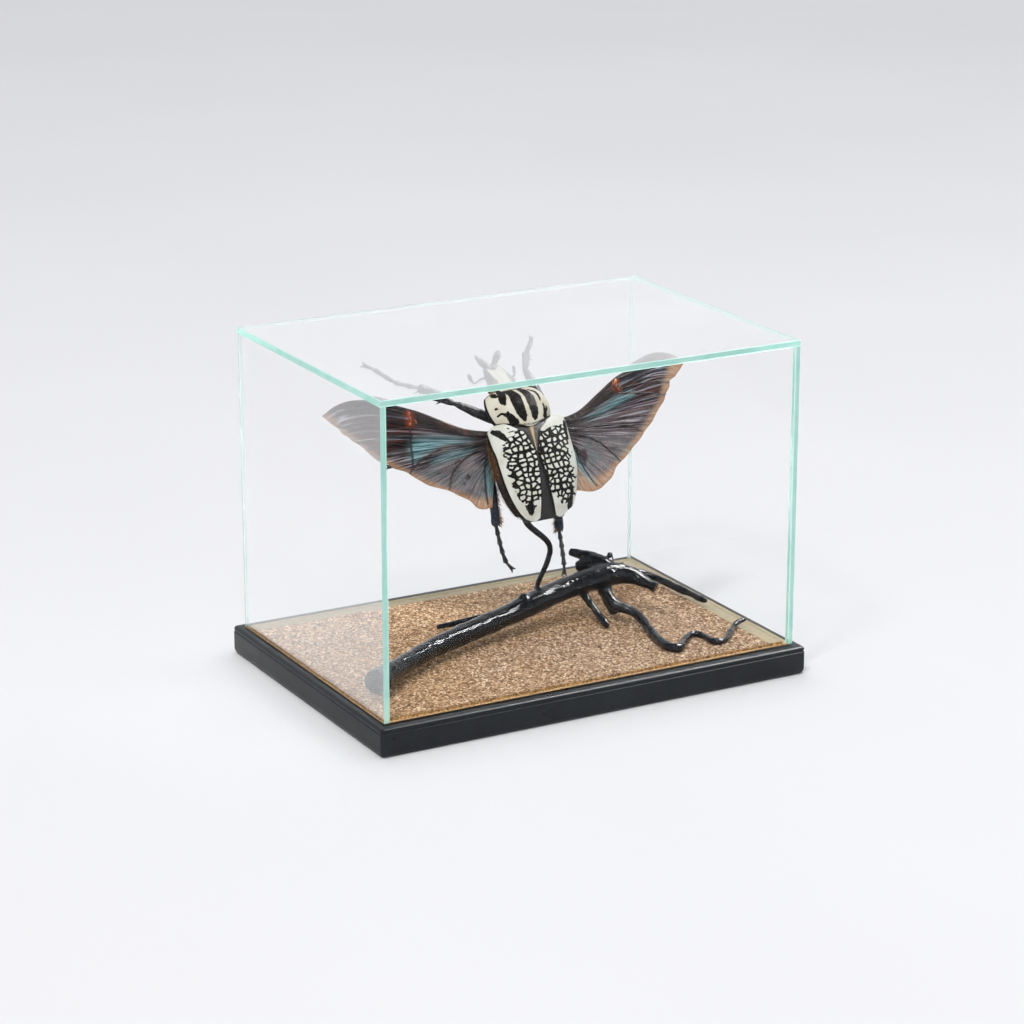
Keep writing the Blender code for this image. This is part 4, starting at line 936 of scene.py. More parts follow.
def plate(name, grid, thickness, place):
    # a curved plate from rows of cells: a "place", and what else is kept on the mesh
    work = bmesh.new()
    rows = [[work.verts.new(cell["place"]) for cell in row] for row in grid]
    for first, second in zip(rows, rows[1:]):
        for index in range(len(first) - 1):
            work.faces.new((first[index], first[index + 1], second[index + 1], second[index]))
    work.normal_update()
    if rows[len(rows) // 2][len(rows[0]) // 2].normal.z < 0:
        bmesh.ops.reverse_faces(work, faces=work.faces[:])
    piece = meshObject(name, work, place)
    for label in list(grid[0][0])[1:]:
        values = [cell[label] for row in grid for cell in row]
        if isinstance(values[0], tuple):
            layer = piece.data.attributes.new(label, "FLOAT_VECTOR", "POINT")
            layer.data.foreach_set("vector", [number for value in values for number in value])
        else:
            piece.data.attributes.new(label, "FLOAT", "POINT").data.foreach_set("value", values)
    wall = piece.modifiers.new("wall", "SOLIDIFY")
    wall.thickness = thickness * mm
    wall.offset = -1.0
    rounding = piece.modifiers.new("rounding", "BEVEL")
    rounding.width = 0.28 * mm
    rounding.segments = 2
    rounding.limit_method = "ANGLE"
    rounding.angle_limit = math.radians(55)
    return settled(piece, True)


def creamShell(name, cells):  # cream and black plate; the marks come from distances kept on the mesh
    material, tree, shader = newMaterial(name, colour=(0.7, 0.67, 0.55), roughness=0.5,
                                         specular=0.12 if cells else 0.05)
    place = objectPlace(tree)
    plan = attribute(tree, "shellPlace", "Vector")
    blot = frayed(tree, place, "markDistance", 1.5, 620.0, 0.06)
    rim = frayed(tree, place, "rimDistance", 0.3, 700.0, 0.08)
    dark = mathNode(tree, "MAXIMUM", blot, rim)
    if cells:
        warpNoise = node(tree, "TexNoise", {"Vector": plan, "Scale": 0.45, "Detail": 2.0})
        warp = node(tree, "VectorMath", {0: warpNoise.outputs["Color"], 1: (0.5, 0.5, 0.5)},
                    operation="SUBTRACT")
        bent = node(tree, "VectorMath", {0: warp.outputs[0], 1: (1.6, 1.6, 0.0), 2: plan},
                    operation="MULTIPLY_ADD")
        stretched = stretch(tree, bent.outputs[0], (1.0, 1.16, 1.0), (3.1, 1.7, 0.0))
        edges = node(tree, "TexVoronoi", {"Vector": stretched, "Scale": elytra["cellScale"],
                                          "Randomness": 0.82},
                     feature="DISTANCE_TO_EDGE", voronoi_dimensions="2D").outputs["Distance"]
        cell = node(tree, "TexVoronoi", {"Vector": stretched, "Scale": elytra["cellScale"],
                                         "Randomness": 0.82}, feature="F1",
                    voronoi_dimensions="2D")
        hearts = cell.outputs["Distance"]
        chance = node(tree, "SeparateColor", {"Color": cell.outputs["Color"]}).outputs[0]
        thickness = addTimes(tree, noiseAt(tree, plan, 0.35, 2.0), 0.17, elytra["line"] - 0.085)
        line = mathNode(tree, "SUBTRACT", thickness, edges)
        reachOf = addTimes(tree, chance, 0.22, 0.33)
        ragged = sway(tree, noiseAt(tree, plan, 1.1, 2.0), 0.13, hearts)
        corner = mathNode(tree, "SUBTRACT", ragged, reachOf)
        thin = mathNode(tree, "MAXIMUM", line, corner)
        net = fit(tree, thin, -0.02, 0.02)
        tongues = noiseAt(tree, stretch(tree, plan, (0.07, 0.32, 1.0)), 1.0, 2.0, 0.6)
        inside = sway(tree, tongues, 11.0, attribute(tree, "netReach"))
        presence = fit(tree, inside, 0.0, 0.25)
        dark = mathNode(tree, "MAXIMUM", dark, times(tree, net, presence))
        seam = frayed(tree, place, "seamDistance", 0.5, 900.0, 0.08)
        dark = mathNode(tree, "MAXIMUM", dark, seam)
    broad = noiseAt(tree, place, 120.0, 3.0)
    fine = noiseAt(tree, place, 2400.0, 4.0, 0.7)
    tints = ((0.54, 0.52, 0.42), (0.68, 0.67, 0.6), (0.75, 0.755, 0.71)) if cells else ((0.51, 0.45, 0.33),
            (0.64, 0.59, 0.48), (0.7, 0.67, 0.585))
    cream = ramp(tree, addTimes(tree, fine, 0.35, times(tree, broad, 0.65)), (0.3, tints[0]),
                 (0.48, tints[1]), (0.65, tints[2]))
    black = ramp(tree, fine, (0.3, (0.0035, 0.003, 0.0025)), (0.7, (0.012, 0.0105, 0.009)))
    colour = mixColour(tree, dark, cream, black)
    if cells:
        hair = noiseAt(tree, stretch(tree, plan, (1.0, 0.25, 1.0)), 3.2, 4.0, 0.7)
        side = ramp(tree, hair, (0.32, (0.02, 0.012, 0.007)), (0.52, (0.06, 0.026, 0.012)),
                    (0.7, (0.42, 0.19, 0.07)))
        beyond = fit(tree, attribute(tree, "rimDistance"), -0.75, -1.3)
        behind = node(tree, "MapRange", {"Value": part(tree, plan, "Y"), "From Min": -19.0,
                                         "From Max": -25.0})
        side = mixColour(tree, behind.outputs[0], side, mixColour(tree, 0.86, side, (0.012, 0.01, 0.009)))
        colour = mixColour(tree, times(tree, beyond, 0.9), colour, side)
    join(tree, colour, shader, "Base Color")
    join(tree, fit(tree, dark, 0.0, 1.0, 0.56, 0.36), shader, "Roughness")
    height = mathNode(tree, "ADD", times(tree, fine, 0.4),
                      addTimes(tree, dark, -0.5, times(tree, broad, 1.5)))
    bump(tree, shader, height, 0.00009)
    return material


def buildElytra():
    material = creamShell("elytronShell", True)
    for side, sign in (("left", -1), ("right", 1)):
        creamTable, netTable = elytra["cream" + side.capitalize()], elytra["net" + side.capitalize()]
        grid = []
        for row in range(elytra["rows"] + 1):
            line = []
            for column in range(elytra["columns"] + 1):
                across = 1.0 - (1.0 - column / elytra["columns"]) ** 1.25
                front = 6.2 * math.sin(math.pi * min(across, 0.5)) - 0.2 - 3.0 * (max(across - 0.6,
                                                                                      0.0) / 0.4) ** 4
                rear = -45.4 - 1.8 * math.sin(math.pi * min(across * 1.25, 1.0)) + 2.6 * across ** 3
                y = front + (rear - front) * (row / elytra["rows"])
                inner, outer = readCurve(elytra["inner"][side], y), readCurve(elytra["side"], y)
                x = inner + (outer - inner) * across
                aside = x + elytra["outwards"][side] * smoothStep(2.0, 20.0, -y)
                line.append({
                    "place": (sign * aside, y, caseHeight(x, y)), "shellPlace": (sign * aside, y, 0.0),
                    "markDistance": markDistance(sign * aside, y, elytra["marks"][side]),
                    "rimDistance": min(readCurve(creamTable, y) - x, (y - rear) * 0.9 - 0.1,
                                       (front - y) * 0.9 + 0.1),
                    "seamDistance": (x - inner) - (0.15 if y > -14 else 0.45),
                    "netReach": min(readCurve(netTable, y) - aside, readCurve(elytra["netFront"][side],
                                                                              aside) - y,
                                    y - readCurve(elytra["netRear"][side], aside))})
            grid.append(line)
        finishPiece(plate(side + "WingCase", grid, elytra["thickness"], bodyFrame), material, "shell_cream",
                    "elytron_" + side)


def buildPronotum():
    material = creamShell("pronotumShell", False)
    grid = []
    for row in range(pronotum["rows"] + 1):
        line = []
        for column in range(pronotum["columns"] + 1):
            across = column / pronotum["columns"] * 2.0 - 1.0
            across = math.copysign(1.0 - (1.0 - abs(across)) ** 1.3, across)
            rear = -2.6 + (7.2 if across < 0 else 4.7) * abs(across) ** 2.2 - 1.4 * max(0.0,
                    1.0 - (across / 0.42) ** 2)
            front = 22.0 - 1.4 * (1.0 - abs(across) ** 2) - 4.0 * abs(across) ** 4
            if across < 0:
                front += 2.6 * across ** 4 + 2.0 * math.exp(-((across + 0.7) / 0.25) ** 2)
            y = rear + (front - rear) * (row / pronotum["rows"])
            half = readCurve(pronotum["sideLeft" if across < 0 else "side"], y)
            x = half * across
            line.append({
                "place": (x, y, pronotumHeight(x, y)), "shellPlace": (x, y, 0.0),
                "markDistance": markDistance(x, y, pronotum["marks"]) - 0.3,
                "rimDistance": min((half - abs(x)) * 1.6 - 0.9, (y - rear) * 0.85 - 0.9,
                                   (front - y) * 0.8 - 0.5)})
        grid.append(line)
    finishPiece(plate("pronotumShield", grid, pronotum["thickness"], pronotumFrame), material, "shell_cream",
                "pronotum")


def buildScutellum():
    grid = []
    for row in range(scutellum["rows"] + 1):
        along = row / scutellum["rows"]
        y = scutellum["front"] - scutellum["length"] * along
        half = max(scutellum["half"] * (1.0 - along) ** 0.9, 0.45)
        line = []
        for column in range(-12, 13):
            x, rib = half * column / 12, abs(column) / 12
            line.append({"place": (x, y, caseHeight(x, y) - 0.25 * rib ** 2), "rib": rib})
        grid.append(line)
    piece = plate("scutellumPlate", grid, scutellum["thickness"], bodyFrame)
    material, tree, shader = newMaterial("scutellumVelvet", colour=(0.02, 0.015, 0.01), roughness=0.45)
    grain = noiseAt(tree, objectPlace(tree), 1300.0, 4.0, 0.65)
    paint(tree, shader, addTimes(tree, grain, 0.5, attribute(tree, "rib")), (0.26, (0.42, 0.33, 0.17)),
          (0.42, (0.3, 0.2, 0.1)), (0.56, (0.05, 0.028, 0.016)), (0.7, (0.013, 0.011, 0.009)))
    bump(tree, shader, grain, 0.0001)
    finishPiece(piece, material, "shell_black", "scutellum")


# body under the plates

def bodyMaterial():
    material, tree, shader = newMaterial("bodyVelvet", colour=(0.02, 0.015, 0.012), roughness=0.5)
    place = objectPlace(tree)
    fuzz = noiseAt(tree, place, 900.0, 5.0, 0.7)
    patch = noiseAt(tree, place, 110.0, 2.0)
    mixed = addTimes(tree, fuzz, 0.6, times(tree, patch, 0.5))
    paint(tree, shader, mixed, (0.46, (0.009, 0.0095, 0.011)), (0.68, (0.018, 0.016, 0.016)),
          (0.84, (0.07, 0.04, 0.022)))
    bump(tree, shader, fuzz, 0.00025)
    return material


def shellRing(y, outer, heightAt, clearance, halfWidth, depth):
    # a body's section: close under a plate above, oval below
    upper, lower = 36, 24
    ring = []
    for index in range(upper + 1):
        angle = math.pi * index / upper
        x = outer * math.cos(angle)
        if index in (0, upper):
            ring.append(Vector((math.copysign(outer - clearance, x), y, 0.0)))
            continue
        after, before = outer * math.cos(angle + 0.02), outer * math.cos(angle - 0.02)
        climb = heightAt(after) - heightAt(before)
        length = math.hypot(after - before, climb)
        rise = heightAt(x) - abs(after - before) / length * clearance
        ring.append(Vector((x - climb / length * clearance, y, max(rise, 0.0))))
    for index in range(lower + 1):
        angle = math.pi * (1.0 + index / lower)
        across = math.cos(angle)
        ring.append(Vector((halfWidth * math.copysign(abs(across) ** 0.85, across), y,
                            -1.0 - (depth - 1.0) * abs(math.sin(angle)) ** 0.9)))
    return ring


def smoothRows(table, count):  # more rows of numbers between the given ones
    return [tuple(readCurve(list(zip([row[0] for row in table], column)),
                            table[0][0] + (table[-1][0] - table[0][0]) * index / count)
                  for column in zip(*table)) for index in range(count + 1)]


def buildBody():
    material = bodyMaterial()

    def caseSection(y, halfWidth, depth):
        slope = (readCurve(elytra["crown"], y + 0.5) - readCurve(elytra["crown"], y - 0.5)) * 0.8
        clearance = 1.6 * math.hypot(1.0, slope)
        return shellRing(y, readCurve(elytra["side"], y), lambda x: caseHeight(x, y), clearance, halfWidth,
                         depth)

    def shieldSection(y, halfWidth, depth):
        slope = (readCurve(pronotum["crown"], y + 0.5) - readCurve(pronotum["crown"], y - 0.5)) * 0.8
        outer = readCurve(pronotum["side"], y)
        return shellRing(y, outer, lambda x: pronotumHeight(x, y), 2.4 * math.hypot(1.0, slope),
                         min(halfWidth, outer - 2.6), depth)

    forms = {
        "thoraxBody": (caseSection, bodyFrame, "thorax", (
            (3.4, 16.0, 12.0), (2.2, 18.0, 14.0), (-2.0, 18.3, 15.8), (-7.0, 18.3, 16.6), (-12.0, 18.3, 15.8),
            (-15.5, 18.3, 14.4))),
        "abdomenBody": (caseSection, bodyFrame, "abdomen", (
            (-15.8, 18.3, 14.2), (-20.0, 18.6, 13.6), (-25.0, 18.2, 13.0), (-30.0, 17.2, 12.0),
            (-35.0, 15.6, 10.5), (-39.5, 13.7, 9.0), (-43.0, 11.4, 7.0), (-45.4, 9.2, 5.0),
            (-46.8, 6.0, 3.0))),
        "prothoraxBody": (shieldSection, pronotumFrame, "prothorax", (
            (1.0, 11.0, 10.0), (4.0, 13.4, 11.6), (8.0, 14.6, 12.0), (12.0, 14.2, 10.8), (15.5, 12.6, 9.0),
            (18.2, 10.6, 7.2), (20.6, 8.4, 5.4))),
    }
    for name, (section, place, nodeName, table) in forms.items():
        rings = []
        segments = 6.2 if name == "abdomenBody" else 40.0
        for y, halfWidth, depth in smoothRows(table, 64):
            ring = section(y, halfWidth, depth)
            if name == "abdomenBody":  # each ring of the belly steps under the next
                fold = (abs(y + 15.8) % segments) / segments
                ring = [Vector((p.x, p.y, p.z + (0.7 * (1.0 - fold) ** 6 if p.z < -1.0 else 0.0)))
                        for p in ring]
            rings.append(ring)
        work = bmesh.new()
        skinRings(work, rings)
        piece = meshObject(name, work, place, angle=60.0)
        finishPiece(piece, material, "shell_black", nodeName)


buildElytra()
buildPronotum()
buildScutellum()
buildBody()
print("plates and body ready")


# hind wings

wings = {
    "rootFront": (18.7, 3.2), "rootRear": (18.7, -9), "drop": 0.2, "thickness": 0.16, "fanSteps": 170,
    "reachSteps": 130,
    "lead": {
        "left": ((18.7, 3.2), (31.7, 7.3), (42.6, 13.7), (53.8, 20.8), (65.3, 26.6), (74.3, 31), (84.5, 33.1),
                 (92.9, 31.9), (100, 28.2)),
        "right": ((18.7, 3.2), (31.1, 5.8), (44.1, 13.1), (56.3, 20.1), (66, 23.6), (75.2, 26.7),
                  (83.5, 28.2), (92, 26.6), (100.3, 22)),
    },
    "margin": {
        "left": ((100, 28.2), (93.2, 19.7), (89.7, 15.1), (85.4, 10.4), (76.6, -0.3), (71.5, -5.3),
                 (64.2, -9.9), (58, -16.2), (46.6, -22.4), (38, -28.6), (31.6, -35), (25.6, -35.3)),
        "right": ((100.3, 22), (95, 17), (90.4, 14.3), (87.2, 9.2), (82.5, 3.1), (73.1, -6.2), (66.6, -11.8),
                  (57, -19.5), (47.8, -26), (40.7, -33.1), (31.9, -36.8), (21.6, -34.8)),
    },
    "joint": {"left": ((58.8, 20.6, 1.5), (58.6, 17.9, 1.2), (59.2, 15.4, 0.9)),
              "right": ((56.3, 18.6, 1.3), (56.3, 16.2, 1.1), (57, 13.8, 1.1))},
    "veins": {  # radius first, then the way in the wing's plane
        "left": ((0.42, ((20, 0.5), (30.2, -1.2), (38, -0.2), (45.4, -0.1), (50.3, -1.3), (55.5, -3.5),
                         (59.6, -5.8), (62.7, -8.4), (64, -10))),
                 (0.3, ((20, -3), (26.4, -3.8), (32.3, -6.4), (36.5, -8.8), (40.3, -11.7), (43, -14.9),
                        (45.6, -21.8))),
                 (0.24, ((20, -5), (22.8, -7.1), (24.7, -11.5), (25.8, -16.7), (27.2, -26.2), (27.6, -33))),
                 (0.34, ((58.5, 21), (70, 26), (82, 28.6), (93, 28.4))),
                 (0.28, ((59.6, 13.8), (72, 15.3), (84, 17.6), (95, 22))),
                 (0.26, ((59.3, 9), (72.9, 10.7), (83, 10.4), (86.6, 11.4))),
                 (0.24, ((60.3, 3.9), (73.4, 7.9), (82, 6))),
                 (0.22, ((60.7, -0.8), (72.6, 1.6), (77, 0))),
                 (0.18, ((59.2, 15.4), (60.2, 8), (60.9, 0), (61.8, -6.5)))),
        "right": ((0.4, ((20, -1), (29.3, -2.9), (38.8, -2.8), (48.2, -3.7), (53.5, -4.5), (58.7, -5.8),
                         (63.2, -7.8), (66.4, -10.2))),
                  (0.24, ((20, -3.6), (27, -5.2), (33.5, -7.8), (40.3, -12.1), (43.7, -15.7), (47.3, -19.7),
                          (50.1, -23.9))),
                  (0.22, ((21, -7), (26, -12.5), (26.9, -19.1), (28.6, -24.8), (31, -30), (33.6, -34.2))),
                  (0.32, ((57, 19.4), (66, 21.6), (76, 24), (88, 24.6))),
                  (0.3, ((57.4, 15.6), (60.3, 14.5), (70.4, 15.3), (79.9, 15.3), (85.4, 14.1), (89.5, 13.2))),
                  (0.34, ((56, 12.4), (57.8, 11.9), (69.3, 10.5), (76.6, 9.2), (83.8, 7.4), (86, 7.2))),
                  (0.22, ((28.1, -0.5), (42.9, 2), (59, 6.1), (72.2, 9.6)))),
    },
    "teal": {"left": ((31, 1.2, 1), (37, 2.3, 1.9), (42, 3.2, 2.2), (50, 3.6, 3.6), (57, 3, 4.6),
                      (60, -1.5, 3)),
             "right": ((36, 1.5, 1), (46, 4, 2.2), (56, 8, 2.4), (64, 10.5, 1.6))},
    # painted sheen: light-blue sheen drawn as teal strokes below the first vein
    "tealSheen": {"left": ((30, -3.4, 0.9), (36, -4.2, 1.9), (44, -4.6, 1.7), (51, -6.4, 0.8)),
                "right": ((23.6, -13, 0.7), (25, -17, 1))},
    "tealLow": {"left": ((22.6, -12, 1.6), (24.2, -19, 1.9), (25.8, -28, 1.9)),
                "right": ((25, -18, 1.5), (27.5, -25, 1.6), (31.5, -31.5, 0.8))},
    "dark": {"left": ((61, 22.5, 4), (72, 27, 4.6), (86, 28.6, 3.6)),
             "right": ((58, 20.8, 2.8), (68, 22, 4.4), (80, 24, 3.4))},
    "tan": {"left": ((98, 26.5, 2), (93, 20.5, 1.2), (76, 0, 0.6), (62, -12, 0.8), (50, -20.5, 1),
                     (40, -27, 1.4), (32, -33, 3.4), (25, -33.2, 3.4)),
            "right": ((96, 20, 5.4), (89, 13.5, 3), (82, 3.5, 1.6), (66, -11.5, 1.3), (50, -23.5, 1.2),
                      (41, -31, 2.8), (32, -34.2, 3.6), (24, -31, 5.2), (23, -26, 3.2))},
    "bundle": 7,
}


def wingHeight(x, y):
    out = x - 18.0
    return -2.3 - wings["drop"] * out + 2.2 * math.sin(math.pi * min(out / 80.0, 1.0)) + 0.01 * (y + 10.0)


def wingRelief(x, y, fan, reach):  # pleats and wrinkles that fan out from the root
    pleat = (0.5 * math.sin(math.tau * 5.5 * fan + 0.6 * math.sin(reach * 5.0)) * smoothStep(0.0, 0.3, reach)
             * (1.0 - 0.5 * smoothStep(0.7, 1.0, reach)))
    bundle = (0.22 * math.sin(math.tau * 34.0 * fan) * (1.0 - smoothStep(0.16, 0.3, fan))
              * (1.0 - smoothStep(0.55, 0.75, reach)))
    wrinkle = (0.3 * noise.noise(Vector((reach * 6.0, fan * 30.0, 2.0)))
               + 0.12 * noise.noise(Vector((x * 0.45, y * 0.45, 5.0))))
    return pleat + bundle + wrinkle * smoothStep(0.02, 0.2, reach)


def wingPlaces(side, fanSteps, reachSteps):
    # rows from leading to trailing edge of plane place, fan share and reach
    margin = wings["margin"][side]
    tables = [list(zip(range(len(margin)), column)) for column in zip(*margin)]
    frontRoot, rearRoot, tip = Vector(wings["rootFront"]), Vector(wings["rootRear"]), Vector(margin[0])
    rows = []
    for step in range(fanSteps + 1):
        fan = step / fanSteps
        spot = fan * (len(margin) - 1)
        ripple = 0.35 * math.sin(spot * 5.3) * smoothStep(0.0, 0.1, fan) * (1.0 - smoothStep(0.93, 1.0, fan))
        end = Vector((readCurve(tables[0], spot) + ripple, readCurve(tables[1], spot)))
        root = frontRoot.lerp(rearRoot, fan)
        row = []
        for stop in range(reachSteps + 1):
            reach = stop / reachSteps
            out = reach ** 0.92
            chord = frontRoot.lerp(tip, out)
            bow = readCurve(wings["lead"][side], chord.x) - chord.y
            place = root.lerp(end, out)
            place.y += bow * math.exp(-0.85 * spot)
            row.append((place.x, place.y, fan, reach))
        rows.append(row)
    return rows


def membraneMaterial():
    material, tree, shader = newMaterial("smokyMembrane", colour=(0.1, 0.07, 0.07), roughness=0.32,
                                         specular=0.12)
    plan = attribute(tree, "wingPlace", "Vector")
    fanned = attribute(tree, "fanPlace", "Vector")
    streak = noiseAt(tree, stretch(tree, fanned, (2.2, 70.0, 1.0)), 1.0, 5.0, 0.62)
    band = noiseAt(tree, stretch(tree, fanned, (0.9, 42.0, 1.0), (1.0, 2.0, 0.0)), 1.0, 2.0, 0.45)
    grain = noiseAt(tree, plan, 2.6, 3.0, 0.7)
    cloud = noiseAt(tree, plan, 0.1, 3.0, 0.55)
    inner = ramp(tree, streak, (0.36, (0.004, 0.003, 0.004)), (0.43, (0.02, 0.014, 0.016)),
                 (0.49, (0.075, 0.05, 0.055)), (0.55, (0.23, 0.185, 0.2)), (0.63, (0.52, 0.47, 0.5)))
    outer = ramp(tree, sway(tree, streak, 0.22, band), (0.36, (0.006, 0.005, 0.006)),
                 (0.42, (0.05, 0.012, 0.01)), (0.45, (0.15, 0.045, 0.03)), (0.475, (0.012, 0.01, 0.012)),
                 (0.52, (0.02, 0.018, 0.022)), (0.55, (0.2, 0.24, 0.3)), (0.58, (0.48, 0.46, 0.52)),
                 (0.605, (0.2, 0.07, 0.06)), (0.65, (0.02, 0.012, 0.014)))
    # the membrane's iridescent teal; its palest blue stop is a painted sheen
    teal = ramp(tree, sway(tree, grain, 0.5, streak), (0.36, (0.008, 0.02, 0.024)),
                (0.46, (0.055, 0.17, 0.18)), (0.55, (0.2, 0.4, 0.43)), (0.66, (0.52, 0.68, 0.75)))
    tan = ramp(tree, streak, (0.32, (0.34, 0.13, 0.04)), (0.5, (0.62, 0.34, 0.17)),
               (0.66, (0.84, 0.62, 0.46)))
    colour = mixColour(tree, attribute(tree, "outerPart"), inner, outer)
    low = fit(tree, cloud, 0.4, 0.56)
    calm = addTimes(tree, streak, 0.5, 0.255)
    lobe = ramp(tree, sway(tree, grain, 0.8, calm), (0.35, (0.03, 0.02, 0.022)), (0.45, (0.14, 0.105, 0.11)),
                (0.54, (0.28, 0.23, 0.235)), (0.64, (0.5, 0.45, 0.46)))
    moss = ramp(tree, sway(tree, grain, 1.1, calm), (0.34, (0.014, 0.016, 0.018)),
                (0.46, (0.06, 0.085, 0.086)), (0.57, (0.15, 0.2, 0.205)), (0.68, (0.38, 0.47, 0.49)))
    lobes = mixColour(tree, times(tree, low, 0.55), lobe, moss)
    colour = mixColour(tree, attribute(tree, "fanPart"), colour, lobes)
    stain = fit(tree, noiseAt(tree, plan, 0.14, 2.0, 0.5), 0.58, 0.66, 0.0, 0.8)
    colour = mixColour(tree, times(tree, stain, attribute(tree, "fanPart")), colour, (0.045, 0.014, 0.02))

    def patch(name, blur, amount, fill, under):
        value = sway(tree, streak, 6.0, attribute(tree, name))
        mask = fit(tree, value, blur, -blur, 0.0, amount)
        return mixColour(tree, mask, under, fill), mask

    colour, tanMask = patch("tanDistance", 1.8, 0.92, tan, colour)
    colour, tealAndSheenMask = patch("tealAndSheenDistance", 2.4, 0.85, teal, colour)
    colour = patch("darkDistance", 1.2, 0.93, (0.008, 0.008, 0.011), colour)[0]
    rootDark = fit(tree, sway(tree, streak, 0.5, part(tree, fanned, "X")), 0.06, 0.32, 0.85, 0.0)
    colour = mixColour(tree, rootDark, colour, (0.012, 0.009, 0.01))
    veinMask = fit(tree, attribute(tree, "veinDistance"), 0.8, 0.2, 0.0, 0.92)
    colour = mixColour(tree, veinMask, colour, (0.007, 0.006, 0.006))
    jointMask = fit(tree, attribute(tree, "jointDistance"), 2.2, -0.4, 0.0, 0.85)
    colour = mixColour(tree, times(tree, jointMask, streak), colour, (0.5, 0.09, 0.02))
    rimMask = fit(tree, attribute(tree, "marginGap"), 2.0, 0.3, 0.0, 0.8)
    colour = mixColour(tree, times(tree, rimMask, mathNode(tree, "ADD", grain, 0.35, clamp=True)), colour,
                       (0.46, 0.22, 0.08))
    join(tree, colour, shader, "Base Color")
    join(tree, times(tree, tealAndSheenMask, 0.45), shader, "Metallic")
    join(tree, fit(tree, streak, 0.3, 0.7, 0.42, 0.22), shader, "Roughness")
    clearness = addTimes(tree, mathNode(tree, "MAXIMUM", tanMask, rimMask), -0.28, 0.97)
    join(tree, clearness, shader, "Alpha")
    height = addTimes(tree, grain, 0.4, streak)
    bump(tree, shader, height, 0.0014)
    return material


def veinMaterial():
    material, tree, shader = newMaterial("darkVein", colour=(0.02, 0.014, 0.013), roughness=0.3)
    place = objectPlace(tree)
    patch = noiseAt(tree, place, 180.0, 3.0)
    paint(tree, shader, patch, (0.35, (0.01, 0.008, 0.008)), (0.55, (0.03, 0.018, 0.016)),
          (0.7, (0.1, 0.035, 0.02)))
    bump(tree, shader, noiseAt(tree, place, 1500.0, 3.0), 0.00008)
    return material


def jointMaterial():
    material, tree, shader = newMaterial("amberJoint", colour=(0.45, 0.1, 0.02), roughness=0.22, coat=0.5)
    place = objectPlace(tree)
    patch = noiseAt(tree, place, 420.0, 3.0)
    paint(tree, shader, patch, (0.32, (0.09, 0.012, 0.006)), (0.5, (0.36, 0.06, 0.015)),
          (0.66, (0.75, 0.28, 0.06)))
    bump(tree, shader, patch, 0.0003)
    return material


